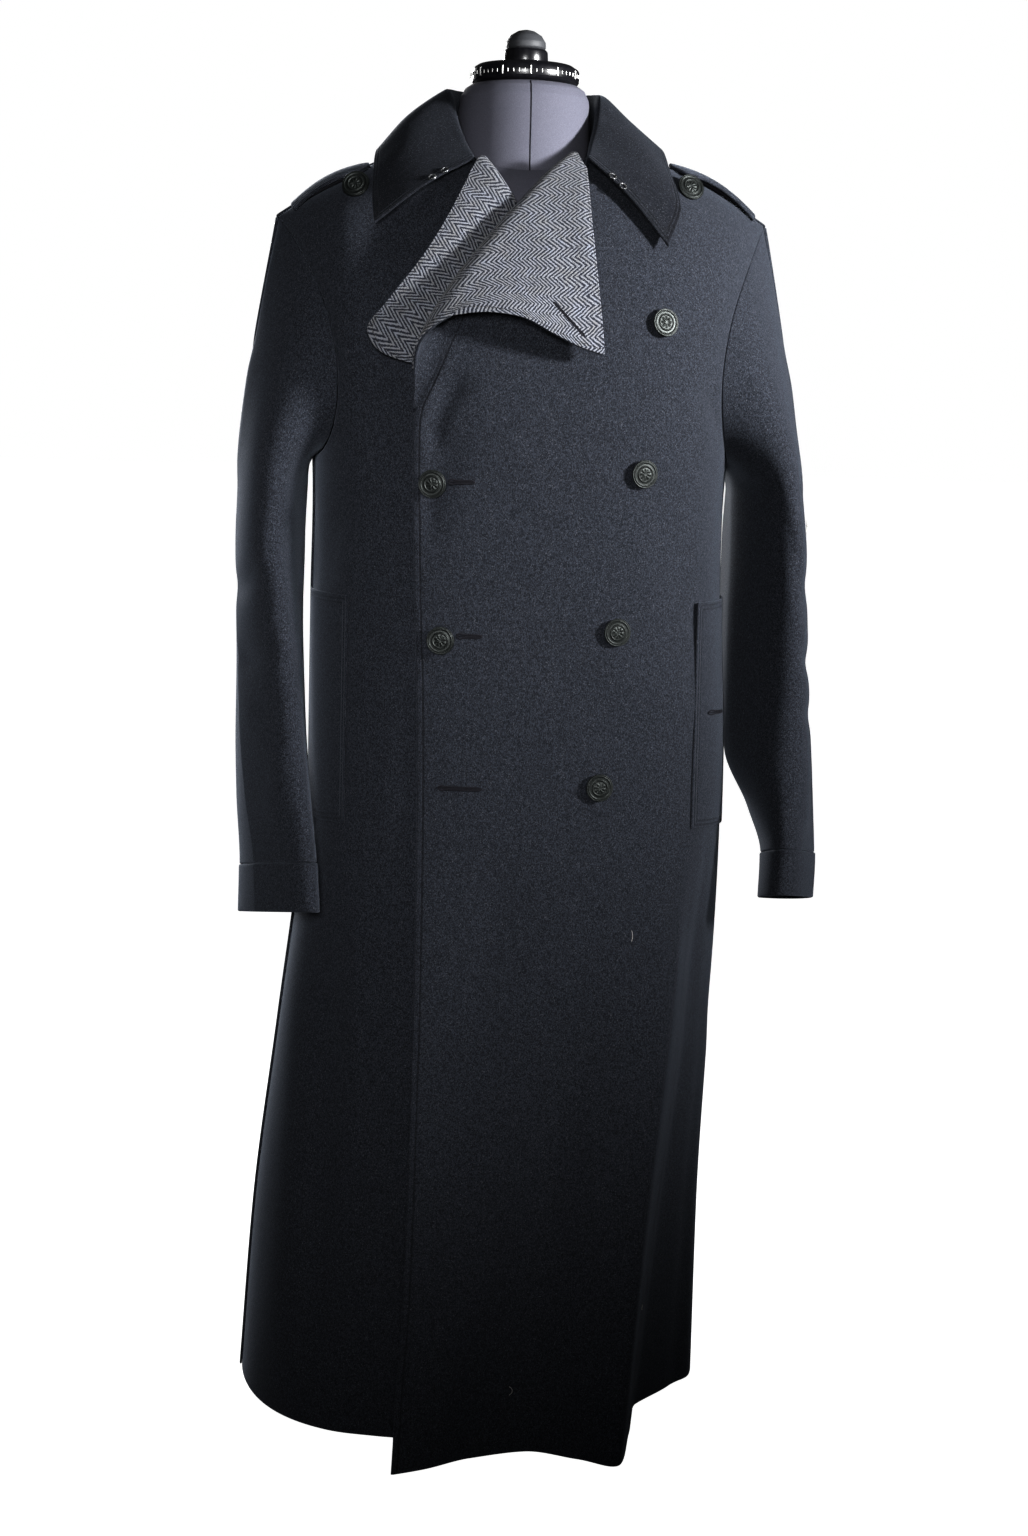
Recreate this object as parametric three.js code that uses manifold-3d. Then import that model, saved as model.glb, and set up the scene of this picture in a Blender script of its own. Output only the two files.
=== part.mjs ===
// Double-breasted wool overcoat worn on a limbless dress form. Millimetres, +Z up.
// The front faces -Y, the wearer's left is +X. The origin is the centre of the base's underside.
import * as THREE from 'three';
import { mergeVertices } from 'three/addons/utils/BufferGeometryUtils.js';
import Module from 'manifold-3d';

const wasm = await Module();
wasm.setup();

// driving sizes
const HEM = 22;                 // hem height over the floor
const ARM = 930;                // underarm height
const NECK_TOP = 1232;          // height of the shoulder line at the neck
const SHOULDER_DROP = 0.0015;   // fall of the shoulder line per square millimetre of x
const FRONT_ROUND = 2.4;        // fullness of the chest towards the shoulder seam
const BACK_ROUND = 3.2;         // fullness of the upper back
const WALL = 2.4;               // coat cloth
const SEAM = 0.3;               // gap between pieces at a seam
const FACING = 1.0;             // facing cloth on the lapels
const COLLAR_WALL = 2.6;
const FOLD_START = 620;         // where the skirt folds begin
const BUTTON_R = 12.7;
const TOLERANCE = 0.05;         // thinning of the triangles

// body sections, outer face: k is the height up to the underarm, then ARM + 100 * share of the
// way to the shoulder line
const SECTIONS = [
  { k: 22, left: 257, right: 197, front: 195, back: 185, cy: 20, square: 0.25 },
  { k: 200, left: 245, right: 196, front: 187, back: 170, cy: 18, square: 0.25 },
  { k: 380, left: 224, right: 200, front: 176, back: 152, cy: 15, square: 0.25 },
  { k: 560, left: 203, right: 203, front: 166, back: 136, cy: 12, square: 0.25 },
  { k: 650, left: 197, right: 202, front: 162, back: 126, cy: 10, square: 0.25 },
  { k: 790, left: 197, right: 195, front: 160, back: 112, cy: 8, square: 0.25 },
  { k: 880, left: 196, right: 193, front: 160, back: 108, cy: 6, square: 0.25 },
  { k: 930, left: 197, right: 195, front: 161, back: 112, cy: 5, square: 0.25 },
  { k: 955, left: 204, right: 200, front: 162, back: 118, cy: 5, square: 0.24 },
  { k: 980, left: 214, right: 208, front: 162, back: 122, cy: 5, square: 0.24 },
  { k: 1005, left: 225, right: 218, front: 160, back: 124, cy: 5, square: 0.24 },
  { k: 1030, left: 234, right: 226, front: 158, back: 124, cy: 5, square: 0.24 },
];

// folds of the lapped skirt: angle at the hem, turn of the fold line by FOLD_START, shift at the hem
const FOLDS = [
  { name: 'edge', angle: -23, lean: -8, dx: 0, dy: -78 },
  { name: 'edge_back', angle: -15, lean: -4, dx: 1, dy: -62 },
  { name: 'edge_foot', angle: -5, lean: 0, dx: 3, dy: -38 },
  { name: 'valley', angle: 8, lean: 4, dx: 4, dy: -26 },
  { name: 'ridge_foot', angle: 20, lean: 10, dx: 4, dy: -50 },
  { name: 'ridge', angle: 32, lean: 18, dx: -2, dy: -78 },
  { name: 'ridge_side', angle: 40, lean: 17, dx: -8, dy: -22 },
  { name: 'side_hollow', angle: 49, lean: 14, dx: -16, dy: 30 },
  { name: 'side', angle: 62, lean: 9, dx: -6, dy: 36 },
  { name: 'side_end', angle: 76, lean: 4, dx: 0, dy: 14 },
  { name: 'seam', angle: 90, lean: 0, dx: 0, dy: 0 },
];

// front edge and roll line, outer face: x by height
const OVER_EDGE = [
  { z: 22, x: -121 }, { z: 90, x: -117 }, { z: 180, x: -111 }, { z: 313, x: -107 },
  { z: 447, x: -104 }, { z: 600, x: -103 }, { z: 717, x: -105 }, { z: 807, x: -109 },
  { z: 957, x: -113 }, { z: 975, x: -111 }, { z: 992, x: -104 }, { z: 1010, x: -96 },
  { z: 1028, x: -89 }, { z: 1058, x: -75 }, { z: 1084, x: -60 }, { z: 1112, x: -41 },
  { z: 1144, x: -16 }, { z: 1200, x: 35 }, { z: 1214, x: 60 }, { z: 1221, x: 74 }, { z: 1240, x: 79 },
];
const UNDER_EDGE = [
  { z: 22, x: -96 }, { z: 600, x: -92 }, { z: 957, x: -98 }, { z: 990, x: -98 },
  { z: 1030, x: -64 }, { z: 1084, x: -24 }, { z: 1144, x: 20 }, { z: 1198, x: 59 },
  { z: 1212, x: 72 }, { z: 1220, x: 80 }, { z: 1240, x: 84 },
];
const BACK_EDGE = [
  { z: 22, x: 0.16 }, { z: 1208, x: 0.16 }, { z: 1211, x: 30 }, { z: 1217, x: 62 },
  { z: 1223, x: 80 }, { z: 1240, x: 84 },
];

// lapels: height on the roll line, degrees of roll, roll radius, free edge (x, z), how far it
// stands off the chest at the edge and midway
const OVER_LAPEL = [
  { roll: 975, turn: 12, r: 14, x: 0, z: 0, stand: 0, mid: 0 },
  { roll: 992, turn: 38, r: 15, x: 0, z: 0, stand: 0, mid: 0 },
  { roll: 1010, turn: 74, r: 16, x: 0, z: 0, stand: 0, mid: 0 },
  { roll: 1028, turn: 118, r: 16, x: 0, z: 0, stand: 0, mid: 0 },
  { roll: 1044, turn: 160, r: 16, x: 0, z: 0, stand: 0, mid: 0 },
  { roll: 1058, turn: 180, r: 15, x: -62, z: 1056, stand: 34, mid: 33 },
  { roll: 1086, turn: 180, r: 13, x: -26, z: 1052, stand: 35, mid: 31 },
  { roll: 1112, turn: 180, r: 11, x: 4, z: 1039, stand: 30, mid: 27 },
  { roll: 1134, turn: 180, r: 10, x: 29, z: 1029, stand: 24, mid: 24 },
  { roll: 1150, turn: 180, r: 9, x: 50, z: 1024, stand: 19, mid: 22 },
  { roll: 1162, turn: 180, r: 8, x: 46, z: 1062, stand: 20, mid: 21 },
  { roll: 1174, turn: 180, r: 7, x: 41, z: 1104, stand: 21, mid: 20 },
  { roll: 1186, turn: 180, r: 6, x: 38, z: 1146, stand: 18, mid: 16 },
  { roll: 1198, turn: 180, r: 5, x: 38, z: 1184, stand: 12, mid: 11 },
];
const UNDER_LAPEL = [
  { roll: 978, turn: 60, r: 1.5, x: 0, z: 0, stand: 0, mid: 0 },
  { roll: 990, turn: 180, r: 1.5, x: 70, z: 984, stand: -7.8, mid: -7.8 },
  { roll: 1020, turn: 180, r: 1.5, x: 0, z: 994, stand: -7.8, mid: -7.8 },
  { roll: 1050, turn: 180, r: 1.6, x: -62, z: 1004, stand: -7.8, mid: -7.8 },
  { roll: 1078, turn: 180, r: 1.8, x: -112, z: 1015, stand: -4, mid: -7 },
  { roll: 1100, turn: 180, r: 2.6, x: -141, z: 1027, stand: 6, mid: -1 },
  { roll: 1112, turn: 180, r: 3, x: -149, z: 1044, stand: 8, mid: -2.5 },
  { roll: 1130, turn: 180, r: 3.6, x: -132, z: 1070, stand: 8, mid: 0 },
  { roll: 1150, turn: 180, r: 4.5, x: -106, z: 1104, stand: 8, mid: 4 },
  { roll: 1170, turn: 180, r: 5, x: -82, z: 1142, stand: 9, mid: 8 },
  { roll: 1192, turn: 180, r: 5, x: -66, z: 1174, stand: 9, mid: 9 },
];

// collar stations from the viewer's left front round the back: share of the neckline, fold line
// and outer edge
const COLLAR = [
  { s: 0.0, fx: -59, fy: -92, fz: 1200, ex: -150, ey: -112, ez: 1139, belly: 6 },
  { s: 0.09, fx: -66, fy: -66, fz: 1216, ex: -151, ey: -82, ez: 1164, belly: 7 },
  { s: 0.2, fx: -74, fy: -32, fz: 1243, ex: -149, ey: -48, ez: 1192, belly: 8 },
  { s: 0.32, fx: -78, fy: 12, fz: 1272, ex: -143, ey: 2, ez: 1213, belly: 6 },
  { s: 0.41, fx: -58, fy: 66, fz: 1277, ex: -110, ey: 84, ez: 1206, belly: 7 },
  { s: 0.5, fx: -6, fy: 88, fz: 1278, ex: -6, ey: 134, ez: 1190, belly: 6 },
  { s: 0.59, fx: 46, fy: 66, fz: 1277, ex: 96, ey: 86, ez: 1208, belly: 7 },
  { s: 0.68, fx: 66, fy: 12, fz: 1272, ex: 122, ey: 0, ez: 1223, belly: 0 },
  { s: 0.8, fx: 60, fy: -32, fz: 1247, ex: 125, ey: -60, ez: 1195, belly: 6 },
  { s: 0.91, fx: 50, fy: -66, fz: 1220, ex: 129, ey: -98, ez: 1164, belly: 6 },
  { s: 1.0, fx: 43, fy: -96, fz: 1203, ex: 114, ey: -126, ez: 1126, belly: 5 },
];

// sleeves: height, centre, half thickness, half depth, turn about the vertical
const SLEEVE_LEFT_VIEW = [
  { z: 500, cx: -227, cy: -50, hx: 23, hy: 80, turn: 24, tilt: -0.2 },
  { z: 545, cx: -228, cy: -42, hx: 24, hy: 80, turn: 22, tilt: -0.2 },
  { z: 610, cx: -233, cy: -24, hx: 27, hy: 83, turn: 13, tilt: -0.15 },
  { z: 670, cx: -236, cy: -8, hx: 30, hy: 86, turn: 7, tilt: -0.08 },
  { z: 730, cx: -237, cy: 1, hx: 31, hy: 88, turn: 4, tilt: -0.03 },
  { z: 790, cx: -238, cy: 6, hx: 32, hy: 90, turn: 2, tilt: 0 },
  { z: 850, cx: -238, cy: 7, hx: 33, hy: 93, turn: 0, tilt: 0 },
  { z: 905, cx: -236, cy: 6, hx: 33, hy: 96, turn: 0, tilt: 0 },
];
const SLEEVE_RIGHT_VIEW = [
  { z: 515, cx: 264, cy: -42, hx: 26, hy: 72, turn: -16, tilt: -0.22 },
  { z: 558, cx: 266, cy: -34, hx: 26, hy: 74, turn: -14, tilt: -0.22 },
  { z: 610, cx: 267, cy: -16, hx: 27, hy: 82, turn: -8, tilt: -0.16 },
  { z: 670, cx: 262, cy: -3, hx: 27, hy: 88, turn: -4, tilt: -0.08 },
  { z: 730, cx: 256, cy: 4, hx: 28, hy: 88, turn: -2, tilt: -0.03 },
  { z: 790, cx: 249, cy: 8, hx: 29, hy: 90, turn: -1, tilt: 0 },
  { z: 850, cx: 243, cy: 8, hx: 31, hy: 93, turn: 0, tilt: 0 },
  { z: 905, cx: 236, cy: 6, hx: 32, hy: 96, turn: 0, tilt: 0 },
];
// the two pieces of a sleeve: first column of the armhole's points and how many it spans
const SLEEVE_CUT = [{ piece: 'top', from: 4, count: 14 }, { piece: 'under', from: 18, count: 8 }];
const CUFF = { height: 43, proud: 0.9, thick: 3.2 };
const STRAP = {
  tipLeft: 128, tipRight: 150, endLeft: 213, endRight: 221, half: 22, thick: 3.2,
  endY: 2, tipY: -26, bow: 5,
  buttonLeft: [141, -60], buttonRight: [-163, -54], lean: 0.9,
};
const FLAP = { low: 594, high: 805, thick: 3, rightX: 155, leftX: -166 };

// buttons: x and height on the lapped front
const BUTTONS = [
  { name: 'button_right_1', x: 110, z: 1057 }, { name: 'button_right_2', x: 94, z: 923 },
  { name: 'button_right_3', x: 74, z: 780 }, { name: 'button_right_4', x: 62, z: 638 },
  { name: 'button_left_1', x: -94, z: 910 }, { name: 'button_left_2', x: -84, z: 770 },
];

// dress form
const FORM = { low: 600, clear: 20, backClear: 12, seat: 0.45, neckX: -6, neckY: 5 };
const NECK = [
  { z: 1120, r: 60 }, { z: 1180, r: 63 }, { z: 1215, r: 62 }, { z: 1250, r: 62 },
  { z: 1264, r: 60 }, { z: 1272, r: 56 }, { z: 1276, r: 50 }, { z: 1277, r: 44 },
];
const DIAL = [
  { z: 1277.3, r: 46 }, { z: 1279, r: 49.5 }, { z: 1286, r: 51 }, { z: 1291, r: 49.5 },
  { z: 1294.5, r: 44 }, { z: 1296, r: 30 },
];
const KNOB_BASE = [{ z: 1296.3, r: 20 }, { z: 1298, r: 21 }, { z: 1307, r: 20.5 }, { z: 1309, r: 19 }];
const KNOB = [
  { z: 1309.3, r: 17 }, { z: 1311, r: 18.6 }, { z: 1316, r: 18.4 }, { z: 1322, r: 14.5 },
  { z: 1326, r: 8 }, { z: 1327.4, r: 2 },
];
const POLE = [{ z: 12.3, r: 30 }, { z: 20, r: 29 }, { z: 26, r: 18 }, { z: 30, r: 16 }, { z: 599.7, r: 16 }];
const BASE = [{ z: 0, r: 117 }, { z: 2, r: 119 }, { z: 9, r: 119 }, { z: 12, r: 116 }];
const STAND = { x: 0, y: 0 };

// helpers
const rad = (d) => (d * Math.PI) / 180;
const clamp = (v, a, b) => Math.min(b, Math.max(a, v));
const mix = (a, b, t) => a + (b - a) * t;
const smooth = (a, b, v) => { const t = clamp((v - a) / (b - a), 0, 1); return t * t * (3 - 2 * t); };
const V = (x, y, z) => new THREE.Vector3(x, y, z);

/** Smooth reading of one column of a table whose rows rise in the key column. */
function read(rows, key, at, column) {
  const n = rows.length;
  if (at <= rows[0][key]) return rows[0][column];
  if (at >= rows[n - 1][key]) return rows[n - 1][column];
  let i = 0;
  while (rows[i + 1][key] < at) i++;
  const slope = (a, b) => (rows[b][column] - rows[a][column]) / (rows[b][key] - rows[a][key]);
  const h = rows[i + 1][key] - rows[i][key];
  const s = slope(i, i + 1);
  const side = (a, b) => (a * b <= 0 ? 0 : 2 / (1 / a + 1 / b));
  const m0 = i > 0 ? side(slope(i - 1, i), s) : s;
  const m1 = i < n - 2 ? side(s, slope(i + 1, i + 2)) : s;
  const t = (at - rows[i][key]) / h;
  const t2 = t * t, t3 = t2 * t;
  return (2 * t3 - 3 * t2 + 1) * rows[i][column] + (t3 - 2 * t2 + t) * h * m0
    + (3 * t2 - 2 * t3) * rows[i + 1][column] + (t3 - t2) * h * m1;
}

const shoulderLine = (x) => NECK_TOP - SHOULDER_DROP * x * x;

/** Section sizes at level k. */
function section(k) {
  const g = (c) => read(SECTIONS, 'k', k, c);
  const left = g('left'), right = g('right');
  return { cx: (right - left) / 2, w: (right + left) / 2, front: g('front'), back: g('back'),
    cy: g('cy'), square: g('square') };
}

/** Point of the coat's outer face: angle 0 is the front, 90 the viewer's right, 180 the back. */
function body(angle, k, folded = false) {
  const r = section(k);
  const s = Math.sin(rad(angle)), c = Math.cos(rad(angle));
  const t = clamp((k - ARM) / 100, 0, 1);
  const round = c > 0 ? FRONT_ROUND : BACK_ROUND;
  const e = Math.pow(Math.max(0, 1 - Math.pow(t, round)), 1 / round);
  let x = r.cx + r.w * s;
  let y = r.cy - (c > 0 ? r.front : r.back) * c * (1 + r.square * s * s) * e;
  const z = t > 0 ? ARM + t * (shoulderLine(x) - ARM) : k;
  if (folded && k < FOLD_START) {
    const up = (k - HEM) / (FOLD_START - HEM);
    const grow = Math.pow(1 - up, 1.2);
    const rows = FOLDS.map((f) => ({ a: f.angle + f.lean * up, dx: f.dx, dy: f.dy }));
    x += grow * read(rows, 'a', angle, 'dx');
    y += grow * read(rows, 'a', angle, 'dy');
  }
  return V(x, y, z);
}

/** Level k and angle of the coat at a given x and height above the underarm. */
function levelAt(x, z) {
  return z <= ARM ? z : ARM + (100 * (z - ARM)) / (shoulderLine(x) - ARM);
}
function angleAt(x, k) {
  const r = section(k);
  return (Math.asin(clamp((x - r.cx) / r.w, -1, 1)) * 180) / Math.PI;
}

/** Outward normal of the coat. */
function bodyNormal(angle, k, folded = false) {
  const d = 0.6;
  const k1 = Math.min(k + d, ARM + 99.9), k0 = k1 - 2 * d;
  const a = body(angle + d, k, folded).sub(body(angle - d, k, folded));
  const b = body(angle, k1, folded).sub(body(angle, k0, folded));
  return a.cross(b).normalize();
}

/** Point on the front or back with its normal, by x and height. */
function chest(x, z) {
  const k = Math.min(levelAt(x, z), ARM + 99.5);
  const a = angleAt(x, k);
  return { p: body(a, k), n: bodyNormal(a, k) };
}

/** Where an edge table crosses level k. */
function edgeX(rows, k, sign) {
  if (k <= ARM) return sign * read(rows, 'z', k, 'x');
  const t = (k - ARM) / 100;
  let lo = -150, hi = 150;
  for (let i = 0; i < 40; i++) {
    const m = (lo + hi) / 2;
    const z = ARM + t * (shoulderLine(m) - ARM);
    if (read(rows, 'z', z, 'x') > m) lo = m; else hi = m;
  }
  return (sign * (lo + hi)) / 2;
}

/** Angle taken by the armhole out of the side. */
const armhole = (k, depth) => {
  const t = clamp((k - ARM) / 100, 0, 1);
  return depth * Math.sqrt(Math.max(0, Math.sin(Math.PI * Math.pow(t, 0.7))));
};
const FRONT_ARMHOLE = 30, BACK_ARMHOLE = 24;

const levels = (() => {
  const low = [22, 120, 220, 320, 430, 540, 660, 800, 890];
  const up = [0, 0.04, 0.12, 0.25, 0.4, 0.56, 0.7, 0.82, 0.9, 0.955, 0.988, 1];
  return { low, up: up.map((t) => ARM + 100 * t), all: [...low, ...up.map((t) => ARM + 100 * t)] };
})();

/** Normals of a grid of points, turned to the side given by sign. */
function gridNormals(grid, sign, closed) {
  const m = grid.length, n = grid[0].length;
  return grid.map((row, j) => row.map((_, i) => {
    const i0 = closed ? (i + n - 1) % n : Math.max(0, i - 1);
    const i1 = closed ? (i + 1) % n : Math.min(n - 1, i + 1);
    const a = row[i1].clone().sub(row[i0]);
    const b = grid[Math.min(m - 1, j + 1)][i].clone().sub(grid[Math.max(0, j - 1)][i]);
    return a.cross(b).normalize().multiplyScalar(sign);
  }));
}

/** Closed solid between two grids of points. */
function solid(outer, inner, closed = false) {
  const m = outer.length, n = outer[0].length;
  const pos = [];
  for (const g of [outer, inner]) for (const row of g) for (const p of row) pos.push(p.x, p.y, p.z);
  const id = (layer, j, i) => layer * m * n + j * n + (closed ? i % n : i);
  const tri = [];
  const quad = (a, b, c, d) => tri.push(a, b, c, a, c, d);
  const cols = closed ? n : n - 1;
  for (let j = 0; j < m - 1; j++) {
    for (let i = 0; i < cols; i++) {
      quad(id(0, j, i), id(0, j, i + 1), id(0, j + 1, i + 1), id(0, j + 1, i));
      quad(id(1, j, i), id(1, j + 1, i), id(1, j + 1, i + 1), id(1, j, i + 1));
    }
    if (!closed) {
      quad(id(0, j, 0), id(0, j + 1, 0), id(1, j + 1, 0), id(1, j, 0));
      quad(id(0, j, n - 1), id(1, j, n - 1), id(1, j + 1, n - 1), id(0, j + 1, n - 1));
    }
  }
  for (let i = 0; i < cols; i++) {
    quad(id(0, 0, i), id(1, 0, i), id(1, 0, i + 1), id(0, 0, i + 1));
    quad(id(0, m - 1, i), id(0, m - 1, i + 1), id(1, m - 1, i + 1), id(1, m - 1, i));
  }
  const g = new THREE.BufferGeometry();
  g.setAttribute('position', new THREE.Float32BufferAttribute(pos, 3));
  g.setIndex(volume(pos, tri) < 0 ? flip(tri) : tri);
  return g;
}
function volume(pos, tri) {
  let v = 0;
  const p = (i) => V(pos[3 * i], pos[3 * i + 1], pos[3 * i + 2]);
  for (let i = 0; i < tri.length; i += 3) v += p(tri[i]).dot(p(tri[i + 1]).cross(p(tri[i + 2])));
  return v;
}
function flip(tri) {
  const out = [];
  for (let i = 0; i < tri.length; i += 3) out.push(tri[i], tri[i + 2], tri[i + 1]);
  return out;
}

/** Cloth wall: the grid is one face, the other lies at the given distance against the normals. */
function wall(grid, thick, sign, closed = false, normals = null) {
  const nn = normals || gridNormals(grid, sign, closed);
  return solid(grid, grid.map((r, j) => r.map((p, i) => p.clone().addScaledVector(nn[j][i], -thick))),
    closed);
}

/** Sheet between two distances off a grid. */
function sheet(grid, normals, from, to, closed = false) {
  const at = (d) => grid.map((r, j) => r.map((p, i) => p.clone().addScaledVector(normals[j][i], d)));
  return solid(at(to), at(from), closed);
}

function toManifold(g) {
  const mesh = new wasm.Mesh({ numProp: 3, vertProperties: new Float32Array(g.attributes.position.array),
    triVerts: new Uint32Array(g.index.array) });
  return new wasm.Manifold(mesh);
}
function fromManifold(m, tolerance = 0.01) {
  const mesh = m.simplify(tolerance).getMesh();
  const n = mesh.vertProperties.length / mesh.numProp;
  const g = new THREE.BufferGeometry();
  const pos = new Float32Array(n * 3);
  for (let i = 0; i < n; i++) {
    for (let c = 0; c < 3; c++) pos[3 * i + c] = mesh.vertProperties[i * mesh.numProp + c];
  }
  g.setAttribute('position', new THREE.Float32BufferAttribute(pos, 3));
  g.setIndex(Array.from(mesh.triVerts));
  return g;
}
/** The largest body left of one piece after others are taken from it. */
function cut(g, ...others) {
  const left = wasm.Manifold.difference([toManifold(g), ...others.map(toManifold)]).decompose();
  return fromManifold(left.sort((a, b) => b.volume() - a.volume())[0]);
}
const union = (...gs) => fromManifold(wasm.Manifold.union(gs.map(toManifold)));

// finishes
const mat = (color, roughness, metalness = 0) =>
  new THREE.MeshStandardMaterial({ color, roughness, metalness });
const wool = mat(0x1f2329, 0.95), tweed = mat(0x86888a, 0.95);
const pewter = mat(0x5e6666, 0.5, 0.8);
const formCloth = mat(0x5c5e68, 0.9), black = mat(0x101114, 0.5), wire = mat(0x17181a, 0.4, 0.6);
const steel = mat(0x4a4d50, 0.45, 0.9);

const group = new THREE.Group();
group.name = 'overcoat_on_form';
function add(name, geometry, material) {
  const g = fromManifold(toManifold(geometry), TOLERANCE);
  g.computeVertexNormals();
  const mesh = new THREE.Mesh(g, material);
  mesh.name = name;
  group.add(mesh);
  return mesh;
}

const TUCKED = -7.8;
/** How far the under front lies below the lapped one. */
function inset(p) {
  const depth = mix(3.1, 11, smooth(890, 975, p.z));
  return depth * smooth(-178, -136, p.x) * (1 - smooth(1130, 1188, p.z));
}

/** Front half as a grid from the side to the front edge. */
function frontGrid(over) {
  const sign = over ? 1 : -1;
  const cols = over ? 17 : 10;
  return levels.all.map((k) => {
    const x = edgeX(over ? OVER_EDGE : UNDER_EDGE, k, sign);
    const start = sign * (90 - armhole(k, FRONT_ARMHOLE));
    const end = angleAt(x, k);
    const row = [];
    for (let i = 0; i <= cols; i++) {
      const a = mix(start, end, i / cols);
      const p = body(a, k, over);
      if (!over) {
        const n = bodyNormal(a, k);
        p.addScaledVector(n, -inset(p));
      }
      if (k >= ARM + 99) p.y -= SEAM / 2;
      if (k <= ARM && i === 0) p.y -= SEAM / 2;
      row.push(p);
    }
    return row;
  });
}

function backGrid(sign) {
  const cols = 9;
  return levels.all.map((k) => {
    const x = edgeX(BACK_EDGE, k, sign);
    const start = sign * (90 + armhole(k, BACK_ARMHOLE));
    const end = sign * 180 - angleAt(x, k);
    const row = [];
    for (let i = 0; i <= cols; i++) {
      const p = body(mix(start, end, i / cols), k);
      if (k >= ARM + 99) p.y += SEAM / 2;
      if (k <= ARM && i === 0) p.y += SEAM / 2;
      row.push(p);
    }
    return row;
  });
}

/** Lapel as a grid over its concave face, from the roll line to the free edge. */
function lapelGrid(over, cols, lead = 2) {
  const sign = over ? 1 : -1;
  const table = over ? OVER_LAPEL : UNDER_LAPEL;
  const rows = table.slice(0, -1).flatMap((row, i) => [0, 0.5].map((f) => {
    const roll = mix(row.roll, table[i + 1].roll, f);
    const at = (c) => read(table, 'roll', roll, c);
    return f === 0 ? row : { roll, turn: at('turn'), r: at('r'), stand: at('stand'), mid: at('mid'),
      x: row.turn < 180 ? 0 : mix(row.x, table[i + 1].x, f), z: mix(row.z, table[i + 1].z, f) };
  }));
  rows.push(table[table.length - 1]);
  const edge = over ? OVER_EDGE : UNDER_EDGE;
  const rollPoint = (z) => {
    const x = sign * read(edge, 'z', z, 'x');
    const c = chest(x, z);
    if (!over) c.p.addScaledVector(c.n, -inset(c.p));
    return c;
  };
  const grid = [], convex = [];
  for (const row of rows) {
    const { p, n } = rollPoint(row.roll);
    const along = rollPoint(row.roll + 3).p.sub(rollPoint(row.roll - 3).p).normalize();
    const away = n.clone().cross(along).normalize().multiplyScalar(sign);
    const line = [{ p: p.clone().addScaledVector(away, -lead), c: n.clone().negate() }];
    const steps = 14;
    for (let i = 0; i <= steps; i++) {
      const f = rad((row.turn * i) / steps);
      const r = row.r;
      line.push({
        p: p.clone().addScaledVector(away, r * Math.sin(f)).addScaledVector(n, r * (1 - Math.cos(f))),
        c: n.clone().multiplyScalar(-Math.cos(f)).addScaledVector(away, Math.sin(f)) });
    }
    if (row.turn >= 180) {
      const from = chest(p.x, p.z);
      const stand0 = line[line.length - 1].p.clone().sub(from.p).dot(from.n);
      for (let i = 1; i <= 16; i++) {
        const q = i / 16;
        const c = chest(mix(p.x, row.x, q), mix(p.z, row.z, q));
        const bend = 4 * q * (1 - q);
        const straight = mix(stand0, row.stand, smooth(0, 1, q));
        const free = straight + bend * (row.mid - (stand0 + row.stand) / 2);
        const clear = read(OVER_EDGE, 'z', c.p.z, 'x') - c.p.x;
        const lift = Math.max(smooth(2, 42, clear), smooth(1112, 1160, c.p.z));
        const stand = over ? free : mix(TUCKED, Math.max(free, TUCKED), lift);
        line.push({ p: c.p.clone().addScaledVector(c.n, stand), c: c.n.clone() });
      }
    }
    const len = [0];
    for (let i = 1; i < line.length; i++) len.push(len[i - 1] + line[i].p.distanceTo(line[i - 1].p));
    const out = [], cn = [];
    for (let j = 0; j <= cols; j++) {
      const want = (len[len.length - 1] * j) / cols;
      let i = 1;
      while (i < line.length - 1 && len[i] < want) i++;
      const t = clamp((want - len[i - 1]) / (len[i] - len[i - 1] || 1), 0, 1);
      out.push(line[i - 1].p.clone().lerp(line[i].p, t));
      cn.push(line[i - 1].c.clone().lerp(line[i].c, t).normalize());
    }
    grid.push(out);
    convex.push(cn);
  }
  const true_ = gridNormals(grid, 1, false);
  const normals = true_.map((r, j) => r.map((n, i) => (n.dot(convex[j][i]) < 0 ? n.negate() : n)));
  return { grid, convex: normals };
}

/** Space taken by a panel with a little air, drawn out past its two side edges. */
function roomOf(panel, sign, inside, outside, past) {
  const wide = panel.map((r) => {
    const n = r.length;
    const lead = r[0].clone().addScaledVector(r[0].clone().sub(r[1]).normalize(), past);
    const tail = r[n - 1].clone().addScaledVector(r[n - 1].clone().sub(r[n - 2]).normalize(), past);
    return [lead, ...r, tail];
  });
  const [a, b] = wide.slice(-2);
  wide.push(b.map((q, i) => q.clone().addScaledVector(q.clone().sub(a[i]).normalize(), past)));
  return sheet(wide, gridNormals(wide, sign, false), -inside, outside);
}
const panels = [];

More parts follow.
